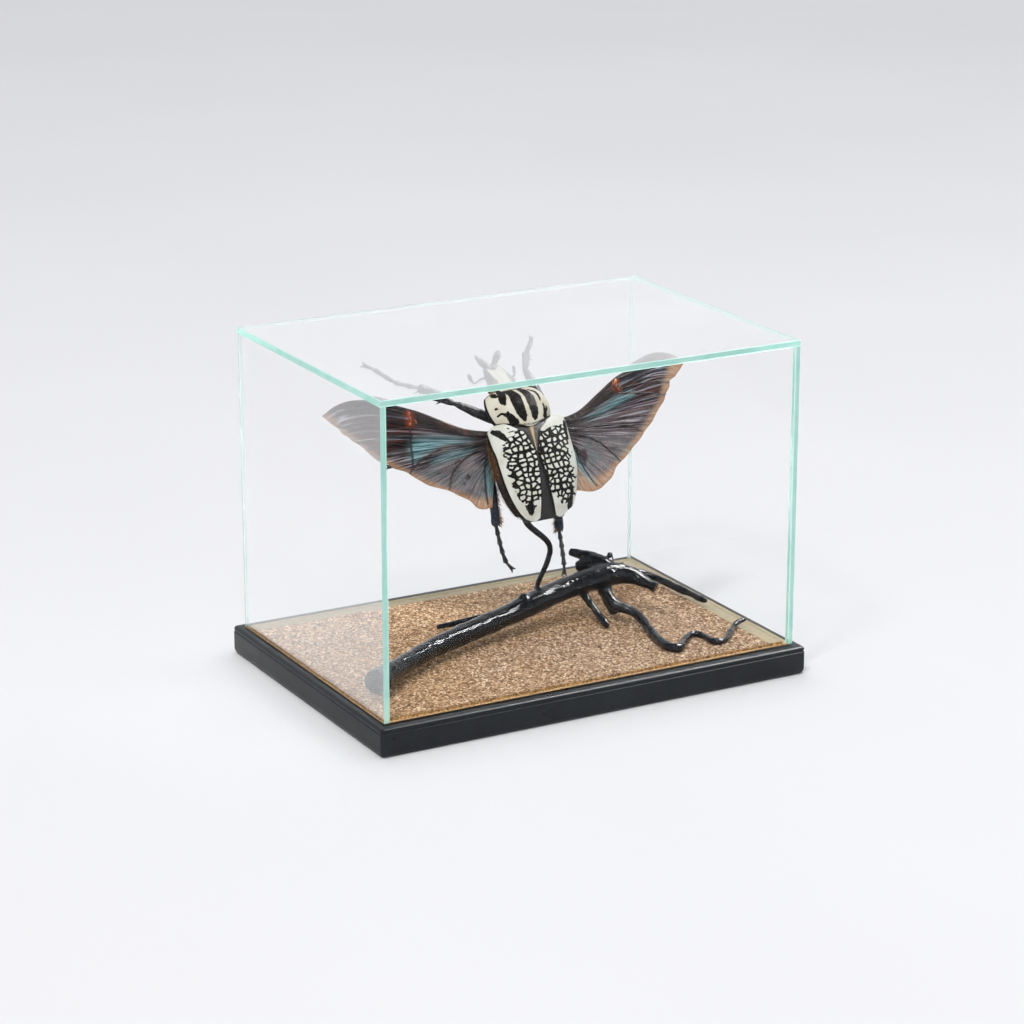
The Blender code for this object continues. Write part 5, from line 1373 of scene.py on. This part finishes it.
def buildWing(side, sign, membrane, vein, amber):
    rows = wingPlaces(side, wings["fanSteps"], wings["reachSteps"])
    veinWays = [way for radius, way in wings["veins"][side]]
    leadTable = wings["lead"][side]
    jointX = wings["joint"][side][1][0]
    for strand in range(wings["bundle"]):  # the stiff bundle behind the leading edge
        spread = 0.25 + strand * 1.0
        way = [(x, readCurve(leadTable, x) - 0.35 - (0.22 + 0.78 * smoothStep(18.0, jointX, x)) * spread)
               for x in [19.5 + (jointX - 19.5) * k / 9 for k in range(10)]]
        veinWays.append(way)
    strokes = [[(x, y, 0.0) for x, y in way] for way in veinWays]
    marginRow = [Vector(row[-1][:2]) for row in rows[::4]]
    grid = []
    for row in rows:
        line = []
        for x, y, fan, reach in row:
            spot = Vector((x, y))
            line.append({
                "place": (sign * x, y, wingHeight(x, y) + wingRelief(x, y, fan, reach)),
                "wingPlace": (x, y, 0.0 if sign < 0 else 40.0),
                "fanPlace": (reach, fan, 0.0 if sign < 0 else 7.0),
                "tealAndSheenDistance": markDistance(x, y,
                                             [wings[name][side] for name in ("teal", "tealSheen", "tealLow")]),
                "darkDistance": markDistance(x, y, (wings["dark"][side],)),
                "tanDistance": markDistance(x, y, (wings["tan"][side],)),
                "veinDistance": markDistance(x, y, strokes),
                "jointDistance": markDistance(x, y, (wings["joint"][side],)),
                "marginGap": math.sqrt(min((end - spot).length_squared for end in marginRow)),
                "outerPart": smoothStep(52.0, 60.0, x) * smoothStep(-4.0, 6.0, y),
                "fanPart": smoothStep(0.5, 0.62, fan) * smoothStep(0.15, 0.4, reach)})
        grid.append(line)
    piece = plate(side + "WingMembrane", grid, wings["thickness"], bodyFrame)
    finishPiece(piece, membrane, "wing_smoke", "hindwing_" + side)

    work = bmesh.new()
    radii = ([radius for radius, way in wings["veins"][side]]
             + [0.36 - 0.02 * k for k in range(wings["bundle"])])
    for radius, way in zip(radii, veinWays):
        path = []
        fine = smoothPath(way, 8)
        for index, (x, y) in enumerate(fine):
            share = index / (len(fine) - 1)
            fan, reach = nearestShares(rows, x, y)
            path.append((sign * x, y, wingHeight(x, y) + wingRelief(x, y, fan, reach) + 0.05,
                         radius * (1.0 - 0.45 * share)))
        tubeInto(work, path, 8, 1)
    lead = []
    for index in range(0, wings["reachSteps"] + 1, 2):
        x, y, fan, reach = rows[0][index]
        lead.append((sign * x, y - 0.2, wingHeight(x, y) + wingRelief(x, y, fan, reach), 0.62 - 0.42 * reach))
    tubeInto(work, lead, 10, 1)
    finishPiece(meshObject(side + "WingVeins", work, bodyFrame), vein, "wing_smoke")

    work = bmesh.new()
    dice = random.Random(11 if sign < 0 else 12)
    drops = list(wings["joint"][side])
    for first, second in zip(wings["joint"][side], wings["joint"][side][1:]):
        for _ in range(4):  # small amber lumps strewn round the fold
            spot = Vector(first).lerp(Vector(second), dice.random())
            drops.append((spot.x - dice.uniform(-0.6, 3.4), spot.y + dice.uniform(-1.0, 0.8),
                          dice.uniform(0.35, 0.7)))
    for index, (x, y, radius) in enumerate(drops):
        made = bmesh.ops.create_icosphere(work, subdivisions=3, radius=radius * 0.85)
        for vertex in made["verts"]:
            lump = 1.0 + 0.35 * noise.noise(vertex.co * 1.3 + Vector((index, 3.0, 0.0)))
            vertex.co = Vector((vertex.co.x * 0.7, vertex.co.y * 1.25,
                                vertex.co.z * 0.6)) * lump + Vector((sign * x, y, wingHeight(x, y) + 0.5))
    bmesh.ops.recalc_face_normals(work, faces=work.faces[:])
    finishPiece(meshObject(side + "WingJoint", work, bodyFrame), amber, "wing_smoke")


def nearestShares(rows, x, y):
    best = (1e9, 0.0, 0.0)
    for row in rows[::6]:
        for spot in row[::6]:
            gap = (spot[0] - x) ** 2 + (spot[1] - y) ** 2
            if gap < best[0]:
                best = (gap, spot[2], spot[3], rows.index(row), row.index(spot))
    rowAt, spotAt = best[3:]
    for row in rows[max(rowAt - 5, 0):rowAt + 6]:
        for spot in row[max(spotAt - 5, 0):spotAt + 6]:
            gap = (spot[0] - x) ** 2 + (spot[1] - y) ** 2
            if gap < best[0]:
                best = (gap, spot[2], spot[3])
    return best[1], best[2]


membrane, veinFinish, amberFinish = membraneMaterial(), veinMaterial(), jointMaterial()
for wingSide, wingSign in (("left", -1), ("right", 1)):
    buildWing(wingSide, wingSign, membrane, veinFinish, amberFinish)
print("wings ready")


# head

head = {
    "sections": ((-0.4, 5.4, 2.4, -3.2), (2.4, 6.9, 3.4, -4.2), (6.4, 7.3, 3.6, -4.4), (9.6, 6.9, 3.2, -3.8),
                 (12.4, 6.3, 2.8, -3), (14.8, 5.6, 2.2, -2.2), (16.6, 4.6, 1.6, -1.6), (17.4, 3.2, 1, -1.1)),
    "eyePlace": (6.7, 5.2, -0.4), "eyeRadius": 2.1, "gloss": 0.2,
    "prongs": (((-0.6, 16.4, 0.3, 2), (-2.2, 18, 0.8, 2), (-3.8, 19.4, 1.7, 1.9), (-5.3, 20.9, 3.1, 1.6),
                (-6.8, 22.6, 4.7, 0.95), (-7.5, 23.5, 5.5, 0.3)),
               ((0.6, 16.4, 0.3, 1.9), (2.2, 17.7, 0.7, 1.5), (3.6, 19, 1.7, 1.5), (4.8, 20.2, 2.8, 1.85),
                (6, 21.4, 4.1, 1.9), (6.9, 22.3, 5.1, 1.1)),
               ((0, 14.8, 0, 2.6), (0, 16.4, 0.1, 2.3), (0, 17.8, 0.4, 1.5))),
    "antennae": {
        "left": ((-5.6, 12.4, -1.5, 0.75), (-8.2, 12.3, -1.6, 0.6), (-10.6, 11.6, -1.6, 0.5),
                 (-12.8, 10.8, -1.6, 0.5), (-13.8, 11.8, -1.6, 0.62)),
        "right": ((5.4, 10.8, -1.5, 0.75), (7.6, 10.2, -1.6, 0.6), (9.4, 9.2, -1.6, 0.5),
                  (10.8, 9, -1.6, 0.5), (12, 10.4, -1.6, 0.62)),
    },
    "clubs": {
        "left": ((-13.8, 12.2, -1.6), (-13.4, 17.3, -1.6)),
        "right": ((12.2, 10.8, -1.6), (14.2, 15.4, -1.6)),
    },
}


def headMaterial():
    material, tree, shader = newMaterial("chalkyHead", colour=(0.62, 0.6, 0.5), roughness=0.6, specular=0.3)
    place = objectPlace(tree)
    mask = frayed(tree, place, "chalkDistance", 0.8, 900.0, 0.12)
    grain = noiseAt(tree, place, 900.0, 4.0, 0.65)
    pits = cellsAt(tree, place, 1900.0)["Distance"]
    pitMask = fit(tree, pits, 0.16, 0.34)
    chalk = ramp(tree, grain, (0.3, (0.47, 0.42, 0.3)), (0.48, (0.68, 0.65, 0.53)), (0.7, (0.78, 0.76, 0.66)))
    chalk = mixColour(tree, pitMask, (0.25, 0.2, 0.13), chalk)
    black = ramp(tree, grain, (0.35, (0.008, 0.008, 0.009)), (0.65, (0.024, 0.022, 0.021)))
    dusty = useGroup(tree, fineDust, Place=place, Colour=mixColour(tree, mask, black, chalk), Amount=0.3,
                     Scale=1300.0)
    join(tree, dusty["Colour"], shader, "Base Color")
    join(tree, fit(tree, mask, 0.0, 1.0, 0.26, 0.66), shader, "Roughness")
    bump(tree, shader, addTimes(tree, grain, 0.4, times(tree, pitMask, 0.5)), 0.0002)
    return material


def hornMaterial(name, roughness):
    material, tree, shader = newMaterial(name, colour=(0.016, 0.013, 0.012), roughness=roughness, coat=0.25,
                                         coatRoughness=0.12)
    height = dressGloss(tree, shader, {"Swell": 700.0, "Pits": 2600.0, "Depth": 0.55},
                        {"Amount": 0.12, "Scale": 1500.0}, 420.0, (roughness * 0.8, roughness * 2.0),
                        (0.3, (0.007, 0.006, 0.007)), (0.55, (0.014, 0.012, 0.012)),
                        (0.75, (0.034, 0.02, 0.014)))
    bump(tree, shader, height, 0.00022)
    return material


def eyeMaterial():
    material, tree, shader = newMaterial("compoundEye", colour=(0.03, 0.012, 0.008), roughness=0.12, coat=0.6,
                                         coatRoughness=0.06)
    place = objectPlace(tree)
    facet = cellsAt(tree, place, 5200.0, "DISTANCE_TO_EDGE")["Distance"]
    patch = noiseAt(tree, place, 500.0, 3.0)
    paint(tree, shader, patch, (0.35, (0.012, 0.006, 0.005)), (0.6, (0.06, 0.024, 0.012)),
          (0.75, (0.12, 0.05, 0.02)))
    bump(tree, shader, facet, 0.00006)
    return material


def buildHead():
    tables = [[(row[0], row[index]) for row in head["sections"]] for index in (1, 2, 3)]
    work = bmesh.new()
    layer = work.verts.layers.float.new("chalkDistance")
    rings, values = [], []
    first, last = head["sections"][0][0], head["sections"][-1][0]
    for step in range(97):
        y = first + (last - first) * step / 96
        wide, top, low = (readCurve(table, y) for table in tables)
        ring, line = [], []
        for turn in range(128):
            angle = math.tau * turn / 128
            across, up = math.cos(angle), math.sin(angle)
            x = wide * math.copysign(abs(across) ** 0.82, across)
            z = (top if up > 0 else -low) * math.copysign(abs(up) ** 0.9, up)
            chalk = max(abs(x) - (4.3 - 0.9 * math.exp(-((y - 5.2) / 2.2) ** 2)), 0.6 - y, y - 15.2)
            if up > 0:
                dish = (0.85 * max(1.0 - (x / 4.1) ** 2, 0.0) * smoothStep(7.5, 10.5, y)
                        * (1.0 - smoothStep(14.6, 16.6, y)))
                ridge = (0.4 * math.exp(-((abs(x) - 4.5) / 0.55) ** 2) * smoothStep(6.5, 9.0, y)
                         * (1.0 - smoothStep(14.5, 16.5, y)))
                keel = (0.45 * math.exp(-(x / 0.75) ** 2) * smoothStep(1.0, 3.5, y)
                        * (1.0 - smoothStep(9.5, 13.5, y)))
                brow = 0.35 * math.exp(-((abs(x) - 5.0) / 0.6) ** 2 - ((y - 5.4) / 2.6) ** 2)
                z += ridge + keel + brow - dish
            groove = 0.35 * math.exp(-((y - 2.0 - 0.02 * x * x) / 0.35) ** 2)
            lumps = 0.14 * noise.noise(Vector((x * 0.9, y * 0.9, z * 0.9)))
            ring.append((x * (1.0 - 0.03 * groove), y, z - (groove if up > 0 else 0.0) * 0.6 + lumps))
            line.append(chalk if up > 0.1 else 4.0)
        rings.append(ring)
        values.append(line)
    rows = skinRings(work, rings)
    for row, line in zip(rows, values):
        for vertex, value in zip(row, line):
            vertex[layer] = value
    finishPiece(meshObject("headCapsule", work, headFrame, angle=50.0), headMaterial(), "head_white", "head")

    gloss = hornMaterial("glossHorn", head["gloss"])
    prongs = []
    for path in head["prongs"]:
        work = bmesh.new()
        tubeInto(work, path, 20, 6)
        for vertex in work.verts:
            vertex.co.z = 0.3 + (vertex.co.z - 0.3) * 0.92
        prongs.append(meshObject("hornProng", work, headFrame))
    horn = fused(joined(prongs, "forkedHorn"), 0.16 * mm, 4)
    finishPiece(horn, gloss, "horn_black", "horn")

    eyeFinish = eyeMaterial()
    for side, sign in (("left", -1), ("right", 1)):
        work = bmesh.new()
        bmesh.ops.create_icosphere(work, subdivisions=5, radius=head["eyeRadius"])
        for vertex in work.verts:
            vertex.co.y *= 1.06
        bmesh.ops.translate(work, verts=work.verts[:],
                            vec=(sign * head["eyePlace"][0], *head["eyePlace"][1:]))
        finishPiece(meshObject(side + "Eye", work, headFrame), eyeFinish, "eye_brown", "eye_" + side)

        work = bmesh.new()  # the bar of horn that crosses the front of the eye
        tubeInto(work, ((sign * 5.6, 7.9, 0.4, 0.55), (sign * 7.4, 7.2, 0.3, 0.5),
                        (sign * 8.75, 5.9, 0.0, 0.3)), 12, 5)
        finishPiece(meshObject(side + "EyeBar", work, headFrame), gloss, "horn_black")

        work = bmesh.new()
        stalk = head["antennae"][side]
        fine = smoothPath(stalk, 9)
        last = len(fine) - 1
        tubeInto(work, [(x, y, z, radius * (0.82 + 0.26 * abs(math.sin(math.pi * 7.0 * index / last))))
                        for index, (x, y, z, radius) in enumerate(fine)], 18, 1)
        base, tip = (Vector(point) for point in head["clubs"][side])
        ahead = (tip - base).normalized()
        flank = flankOf(ahead)
        for leaf in (-1, 0, 1):  # three leaves that close to a club
            rings = []
            for step in range(17):
                share = step / 16
                belly = max(math.sin(math.pi * min(share * 0.94 + 0.03, 1.0)), 0.05) ** 0.6
                centre = base.lerp(tip, share) + flank * leaf * (0.42 + 0.12 * math.sin(math.pi * share))
                centre.z += 0.05 * leaf
                rings.append(ringAt(centre, flank * 0.24, Vector((0.0, 0.0, 1.1)), belly, 16))
            skinRings(work, rings)
        finishPiece(meshObject(side + "Antenna", work, headFrame), gloss, "horn_black", "antenna_" + side)


buildHead()
print("head ready")


# legs

legs = {
    "joints": {  # hip, knee, ankle, then the foot
        "fore_left": ((-8.6, 6.9, -9.5), (-32.2, 21, -6.6), (-51.3, 30.9, -6.4), (-63.8, 36.3, -6.4),
                      (-71.1, 43, -6.3), (-77.8, 47.5, -6.3)),
        "fore_right": ((15.4, 14, -10), (11.2, 31.6, -17), (17.6, 40.6, -29.6), (21, 44.2, -34.4),
                       (24.4, 47.2, -38.6), (26.4, 49.8, -41.8)),
        "mid_left": ((-8.4, -5.1, -15), (-31.9, -10.9, -18), (-51.9, -6.9, -20), (-60, -4.8, -20.6),
                     (-66.6, -4.2, -20.8), (-71.6, -3.6, -20.6)),
        "mid_right": ((8.6, -4.9, -15), (31.1, -9.1, -18), (49, -2.4, -20.5), (57, 1.7, -21),
                      (62.9, 5.7, -21), (67.9, 8.2, -20.6)),
        "hind_left": ((-7.7, -24.1, -14.5), (-20.8, -15.8, -9.4), (-23.5, -44.7, -10), (-23, -55.4, -11),
                      (-21.5, -64.7, -12), (-18.8, -68.6, -12.2)),
        "hind_right": ((8.3, -23.9, -15.5), (17.8, -21.8, -18.4), (11.8, -53.3, -15.6), (11.4, -60.4, -15.2),
                       (10.7, -69.9, -15), (9.7, -76, -15)),
    },
    "sizes": {"fore": (2.5, 2.1, 3, 2.4, True), "mid": (2.4, 1.9, 4, 2.2, False),
              "hind": (2.8, 2.1, 9, 3.2, False)},
    "femur": ((0, 0.8, 0.8), (0.06, 1, 0.92), (0.3, 1.06, 0.9), (0.5, 1.08, 0.88), (0.72, 0.98, 0.78),
              (0.88, 0.78, 0.66), (0.96, 0.72, 0.62), (1, 0.6, 0.5), (1.03, 0.34, 0.3)),
    "tibia": ((-0.03, 0.34, 0.3), (0, 0.56, 0.48), (0.04, 0.66, 0.52), (0.08, 0.56, 0.46), (0.14, 0.74, 0.56),
              (0.3, 0.84, 0.62), (0.5, 0.9, 0.66), (0.7, 0.98, 0.68), (0.86, 1.1, 0.72), (0.95, 1.18, 0.74),
              (0.99, 1.02, 0.66), (1.01, 0.7, 0.45)),
    "beads": 5, "bead": ((-0.08, 0.66), (0, 0.84), (0.14, 0.92), (0.4, 1.02), (0.72, 1.26), (0.88, 1.42),
                         (0.96, 1.34), (1, 1)),
    "hip": ((0, 0.6, 0.6), (0.3, 0.95, 0.9), (0.7, 1, 0.92), (1, 0.7, 0.62)),
    "crown": ((-1, 2.6), (-0.35, 3.2), (0.45, 2.8)), "teeth": 16,
}


def limbInto(work, root, tip, stations, size, kind, sides=26, steps=60, relief=0.0, seed=0.0):
    # an oval limb with a flattened upper face
    ahead = (tip - root).normalized()
    side = flankOf(ahead)
    rise = side.cross(ahead)
    wide = [(row[0], row[1]) for row in stations]
    tall = [(row[0], row[2]) for row in stations]
    rings = []
    for step in range(steps + 1):
        share = stations[0][0] + (stations[-1][0] - stations[0][0]) * step / steps
        centre = root.lerp(tip, share)
        half, high = size * readCurve(wide, share), size * readCurve(tall, share)
        ring = []
        for turn in range(sides):
            angle = math.tau * turn / sides
            across, up = math.cos(angle), math.sin(angle)
            if kind == "tibia":  # a long groove between two keels
                up *= 1.0 - (0.22 * math.exp(-(across / 0.25) ** 2) * smoothStep(0.1, 0.25, share)
                             * (1.0 - smoothStep(0.85, 0.97, share)))
            lump = 1.0 + relief * noise.noise(Vector((share * 9.0, across * 1.6, up * 1.6 + seed)))
            ring.append(centre + side * (half * across * lump) + rise * (high * up * lump))
        rings.append(ring)
    skinRings(work, rings)
    return side, rise


def spurInto(work, root, direction, length, radius, sag):
    path = []
    for step in range(6):
        share = step / 5
        point = root + direction * (length * share) + sag * (share * share * length * 0.22)
        path.append((*point, radius * (1.0 - share) ** 0.8 + 0.04))
    tubeInto(work, path, 10, 2)


def clawInto(work, root, ahead, flank, reach, radius):
    path = []
    for step in range(8):
        share = step / 7
        point = (root + ahead * (reach * math.sin(share * 1.75) * 0.9)
                 + flank * (reach * (0.75 * math.sin(share * 1.9)))
                 + Vector((0.0, 0.0, -reach * 0.75 * share ** 2.2)))
        path.append((*point, radius * (1.0 - 0.9 * share) + 0.03))
    tubeInto(work, path, 10, 2)


def cuticleMaterial(name, tint):
    material, tree, shader = newMaterial(name, colour=tint, roughness=0.2, coat=0.2, coatRoughness=0.08,
                                         specular=0.3)
    height = dressGloss(tree, shader, {"Swell": 620.0, "Pits": 2300.0, "Depth": 0.7},
                        {"Amount": 0.12, "Scale": 1500.0}, 380.0, (0.14, 0.4), (0.3, (0.006, 0.007, 0.01)),
                        (0.55, tint), (0.75, (0.03, 0.028, 0.03)))
    scratch = noiseAt(tree, stretch(tree, objectPlace(tree), (3200.0, 600.0, 1800.0)), 1.0, 3.0)
    bump(tree, shader, addTimes(tree, scratch, 0.12, height), 0.00024)
    return material


def buildLeg(key, cuticle, steel):
    kind, side = key.split("_")
    sign = -1 if side == "left" else 1
    hip, knee, ankle, *foot = (Vector(joint) for joint in legs["joints"][key])
    femurSize, tibiaSize, spurCount, spurLength, outward = legs["sizes"][kind]
    seed = 3.0 * list(legs["joints"]).index(key)

    work = bmesh.new()
    limbInto(work, hip, knee, legs["femur"], femurSize, "femur", relief=0.07, seed=seed)
    limbInto(work, hip.lerp(knee, -0.06), hip.lerp(knee, 0.1), legs["hip"], femurSize * 1.02, "femur",
             steps=14, relief=0.05, seed=seed + 1.0)
    finishPiece(meshObject(kind + "Femur" + side.capitalize(), work, bodyFrame), cuticle, "leg_black",
                kind + "_femur_" + side)

    work = bmesh.new()
    stations = [(share, wide * (1.45 - 0.45 * share) if kind == "hind" else wide, tall)
                for share, wide, tall in legs["tibia"]]
    across, rise = limbInto(work, knee, ankle, stations, tibiaSize, "tibia", relief=0.08, seed=seed + 2.0)
    along = (ankle - knee).normalized()
    flank = across if across.x * sign > 0 else -across
    if not outward:
        flank = -flank
    for index in range(spurCount):
        place = 0.42 + 0.56 * index / (spurCount - 1)
        root = knee.lerp(ankle, place) + flank * tibiaSize * 0.55
        lift = Vector((0.0, 0.0, 0.25 if index % 2 else -0.25))
        length = spurLength * (0.7 + 0.3 * place)
        if kind == "hind":
            length *= 0.6
        spurInto(work, root, (flank + along * 0.7 + lift).normalized(), length + tibiaSize * 0.35,
                 0.36 if kind == "hind" else 0.55, along)
    for turn, reach in legs["crown"]:  # spurs round the tibia's end
        spurInto(work, ankle - along * 0.9 + across * tibiaSize * turn * 0.7,
                 (along + across * turn * 0.45 - rise * 0.2).normalized(), reach * 0.8, 0.34, -rise)
    for index in range(legs["teeth"]):  # low teeth along the outer keel
        share = 0.15 + 0.75 * index / (legs["teeth"] - 1)
        root = (knee.lerp(ankle, share)
                - flank * tibiaSize * readCurve([(row[0], row[1]) for row in legs["tibia"]], share) * 0.9)
        spurInto(work, root, (-flank * 0.6 + along).normalized(), 0.7, 0.2, along)
    finishPiece(meshObject(kind + "Tibia" + side.capitalize(), work, bodyFrame),
                steel if kind == "hind" else cuticle, "leg_black", kind + "_tibia_" + side)

    work = bmesh.new()
    fine = [Vector(point) for point in smoothPath([ankle, *foot], 24)]
    lengths = [0.0]
    for first, second in zip(fine, fine[1:]):
        lengths.append(lengths[-1] + (second - first).length)
    total = lengths[-1]

    def pointAt(reach):
        for index in range(len(fine) - 1):
            if lengths[index + 1] >= reach:
                span = max(lengths[index + 1] - lengths[index], 1e-6)
                return fine[index].lerp(fine[index + 1], (reach - lengths[index]) / span)
        return fine[-1]

    beads = legs["beads"]
    for bead in range(beads):  # each foot joint widens to a cup for the next
        start = total * bead / beads
        end = total * (bead + 1.0) / beads
        root, tip = pointAt(start), pointAt(end)
        ahead = (tip - root).normalized()
        path = [(*(root + (tip - root) * share), radius * (0.78 if bead == beads - 1 else 1.0))
                for share, radius in legs["bead"]]
        tubeInto(work, path, 18, 3)
        for turn in (-1, 1):
            aside = flankOf(ahead) * turn
            spurInto(work, root.lerp(tip, 0.86) + aside * 0.7,
                     (ahead + aside * 0.6 + Vector((0.0, 0.0, -0.5))).normalized(), 1.1, 0.16, ahead)
    ahead = (fine[-1] - fine[-6]).normalized()
    for turn in (-1, 1):
        clawInto(work, fine[-1] - ahead * 0.4, ahead, flankOf(ahead) * turn, 1.9, 0.6)
    finishPiece(meshObject(kind + "Tarsus" + side.capitalize(), work, bodyFrame), cuticle, "leg_black",
                kind + "_tarsus_" + side)


blackCuticle, blueCuticle = cuticleMaterial("legCuticle",
                                            (0.013, 0.013, 0.016)), cuticleMaterial("steelCuticle",
                                                                                    (0.014, 0.022, 0.038))
for legKey in legs["joints"]:
    buildLeg(legKey, blackCuticle, blueCuticle)
print("legs ready")


# hair

hair = {
    "bristles": {  # path of roots with half width, then hairs, length, radius, lean direction, colour
        "hindFringeLeft": ("body", ((-20.6, -24, -9.4, 1), (-21.4, -32, -9.6, 1), (-22, -44, -9.8, 1)), 170,
                           3.6, 0.27, (0.85, -0.62, 0.1), "russet"),
        "hindFringeRight": ("body", ((15, -30, -17.6, 0.9), (12.8, -42, -16.6, 0.9), (10.6, -53, -15.4, 0.9)),
                            170, 3.4, 0.27, (-0.8, -0.6, 0.1), "russet"),
        "collarFringe": ("body", ((-11, 5, 2, 1.2), (-6, 4.4, 7.6, 1), (0, 3.4, 9.4, 0.9), (6, 4.4, 7.6, 1),
                                  (11.5, 5, 2, 1.2)), 520, 1.5, 0.06,
                         (0, -0.5, 0.75), "black"),
        "shoulderFuzzLeft": ("body", ((-20.6, 4, 1, 1), (-21.8, -2, 0.2, 0.9), (-22.6, -12, -0.4, 0.8),
                                      (-22.4, -22, -0.6, 0.7)), 560, 1.3, 0.05,
                             (-0.75, -0.5, 0.2), "russet"),
        "flankFuzzLeft": ("body", ((-22.2, -22, -0.6, 0.7), (-20.4, -31, -0.6, 0.7), (-15.6, -41, -0.6, 0.7),
                                   (-9, -46, -0.4, 0.7)), 420, 1, 0.05,
                          (-0.5, -0.8, 0.1), "black"),
        "cheekFuzz": ("pronotum", ((-12.6, 20.4, 2.6, 0.9), (-10.6, 22.6, 2.8, 0.9), (-7.6, 23.4, 3, 0.8)),
                      240, 1.6, 0.06, (-0.35, 0.85, 0.1), "russet"),
        "neckFuzz": ("pronotum", ((-6, 21.8, 3.4, 0.7), (0, 21.2, 3.8, 0.7), (6, 20.8, 3.4, 0.7)), 220, 1.2,
                     0.05, (0, 0.9, 0.2), "straw"),
        "thoraxFuzz": ("body", ((-12, -2, -14.6, 4), (0, 0, -15.6, 4), (12, -2, -14.6, 4)), 900, 2, 0.06,
                       (0, -0.6, -0.7), "russet"),
    },
    "colours": {"russet": ((0.1, 0.04, 0.014), (0.4, 0.18, 0.06)),
                "black": ((0.008, 0.007, 0.006), (0.05, 0.03, 0.018)),
                "straw": ((0.3, 0.2, 0.08), (0.6, 0.45, 0.22))},
}


def bristleTree():
    # bristles on a strip, bent towards one direction; each keeps its root's place on the strip
    tree, sockets, given, made = geometryTree("bristles", ("Hairs per square metre", "Float"),
                                              ("Length", "Float"), ("Radius", "Float"), ("Lean", "Vector"),
                                              ("Seed", "Int"), ("Material", "Material"))
    strewn = node(tree, "GeometryNodeDistributePointsOnFaces", {
        "Mesh": given["Geometry"], "Density": given["Hairs per square metre"], "Seed": given["Seed"]})
    root = node(tree, "GeometryNodeInputNamedAttribute", {"Name": "skinPlace"}, data_type="FLOAT_VECTOR")
    kept = node(tree, "GeometryNodeStoreNamedAttribute", {
        "Geometry": strewn.outputs["Points"], "Name": "rootPlace", "Value": root.outputs[0]},
        data_type="FLOAT_VECTOR", domain="POINT")
    cone = node(tree, "GeometryNodeMeshCone", {
        "Vertices": 5, "Side Segments": 4, "Radius Top": 0.00001, "Radius Bottom": given["Radius"],
        "Depth": given["Length"]})
    share = mathNode(tree, "DIVIDE", part(tree, node(tree, "GeometryNodeInputPosition").outputs[0], "Z"),
                     given["Length"])
    reach = times(tree, mathNode(tree, "POWER", share, 2.0), given["Length"])
    aside = node(tree, "CombineXYZ", {0: times(tree, reach, 0.3)})
    bent = node(tree, "GeometryNodeSetPosition",
                {"Geometry": cone.outputs["Mesh"], "Offset": aside.outputs[0]})
    jitter = node(tree, "FunctionNodeRandomValue", {
        0: (-0.4, -0.4, -0.4), 1: (0.4, 0.4, 0.4), "Seed": given["Seed"]}, data_type="FLOAT_VECTOR")
    aim = node(tree, "VectorMath", {0: given["Lean"], 1: jitter.outputs[0]}, operation="ADD")
    turn = node(tree, "FunctionNodeAlignRotationToVector", {"Vector": aim.outputs[0]}, axis="Z")
    size = node(tree, "FunctionNodeRandomValue", {2: 0.45, 3: 1.15}, data_type="FLOAT")
    placed = node(tree, "GeometryNodeInstanceOnPoints", {
        "Points": kept.outputs[0], "Instance": bent.outputs[0], "Rotation": turn.outputs[0],
        "Scale": size.outputs[1]})
    finishTree(tree, placed.outputs[0], given["Material"], made)
    return tree, sockets


def hairMaterial(name, dark, light):
    material, tree, shader = newMaterial(name, colour=light, roughness=0.55, sheen=0.3)
    place = objectPlace(tree)
    tone = noiseAt(tree, place, 700.0, 3.0, 0.7)
    paint(tree, shader, tone, (0.35, dark), (0.65, light))
    bump(tree, shader, noiseAt(tree, place, 4000.0, 2.0), 0.00003)
    return material


def buildHair():
    finishes = {name: hairMaterial(name + "Hair", *colours) for name, colours in hair["colours"].items()}
    tree, sockets = bristleTree()
    frames = {"body": bodyFrame, "pronotum": pronotumFrame}
    for index, (name, row) in enumerate(hair["bristles"].items()):
        place, path, count, length, radius, lean, tone = row
        work = bmesh.new()
        fine = smoothPath(path, 8)
        rows = []
        for x, y, z, half in fine:
            rows.append([work.verts.new((x + half * 0.5 * sign, y + half * 0.3 * sign, z + half * 0.4 * sign))
                         for sign in (-1, 1)])
        for first, second in zip(rows, rows[1:]):
            work.faces.new((first[0], first[1], second[1], second[0]))
        strip = meshObject(name, work, frames[place])
        area = sum(polygon.area for polygon in strip.data.polygons)
        skin = strip.data.attributes.new("skinPlace", "FLOAT_VECTOR", "POINT")
        for step in range(len(rows)):
            share = 0.05 + 0.9 * step / (len(rows) - 1)
            skin.data[2 * step].vector = (share, 0.1 + 0.1 * index, 0.0)
            skin.data[2 * step + 1].vector = (share, 0.16 + 0.1 * index, 0.0)
        direction = (frames[place].to_3x3() @ Vector(lean)).normalized()
        values = {"Hairs per square metre": count / area, "Length": length * mm, "Radius": radius * mm,
                  "Lean": direction, "Seed": 20 + index, "Material": finishes[tone]}
        growInPlace(strip, tree, sockets, values)
        mesh = strip.data  # each hair lies at its root's place on the map
        roots = mesh.attributes.get("rootPlace")
        unwrapped = mesh.uv_layers.new(name="OFBake")
        corners = ((0.0, 0.0), (0.003, 0.0), (0.0015, 0.003))
        for polygon in mesh.polygons:
            for step, loop in enumerate(polygon.loop_indices):
                root = roots.data[mesh.loops[loop].vertex_index].vector
                unwrapped.data[loop].uv = (root[0] + corners[step % 3][0], root[1] + corners[step % 3][1])
        finishPiece(strip, None, "leg_black" if "hind" in name else "shell_black")


buildHair()
print("hair ready")
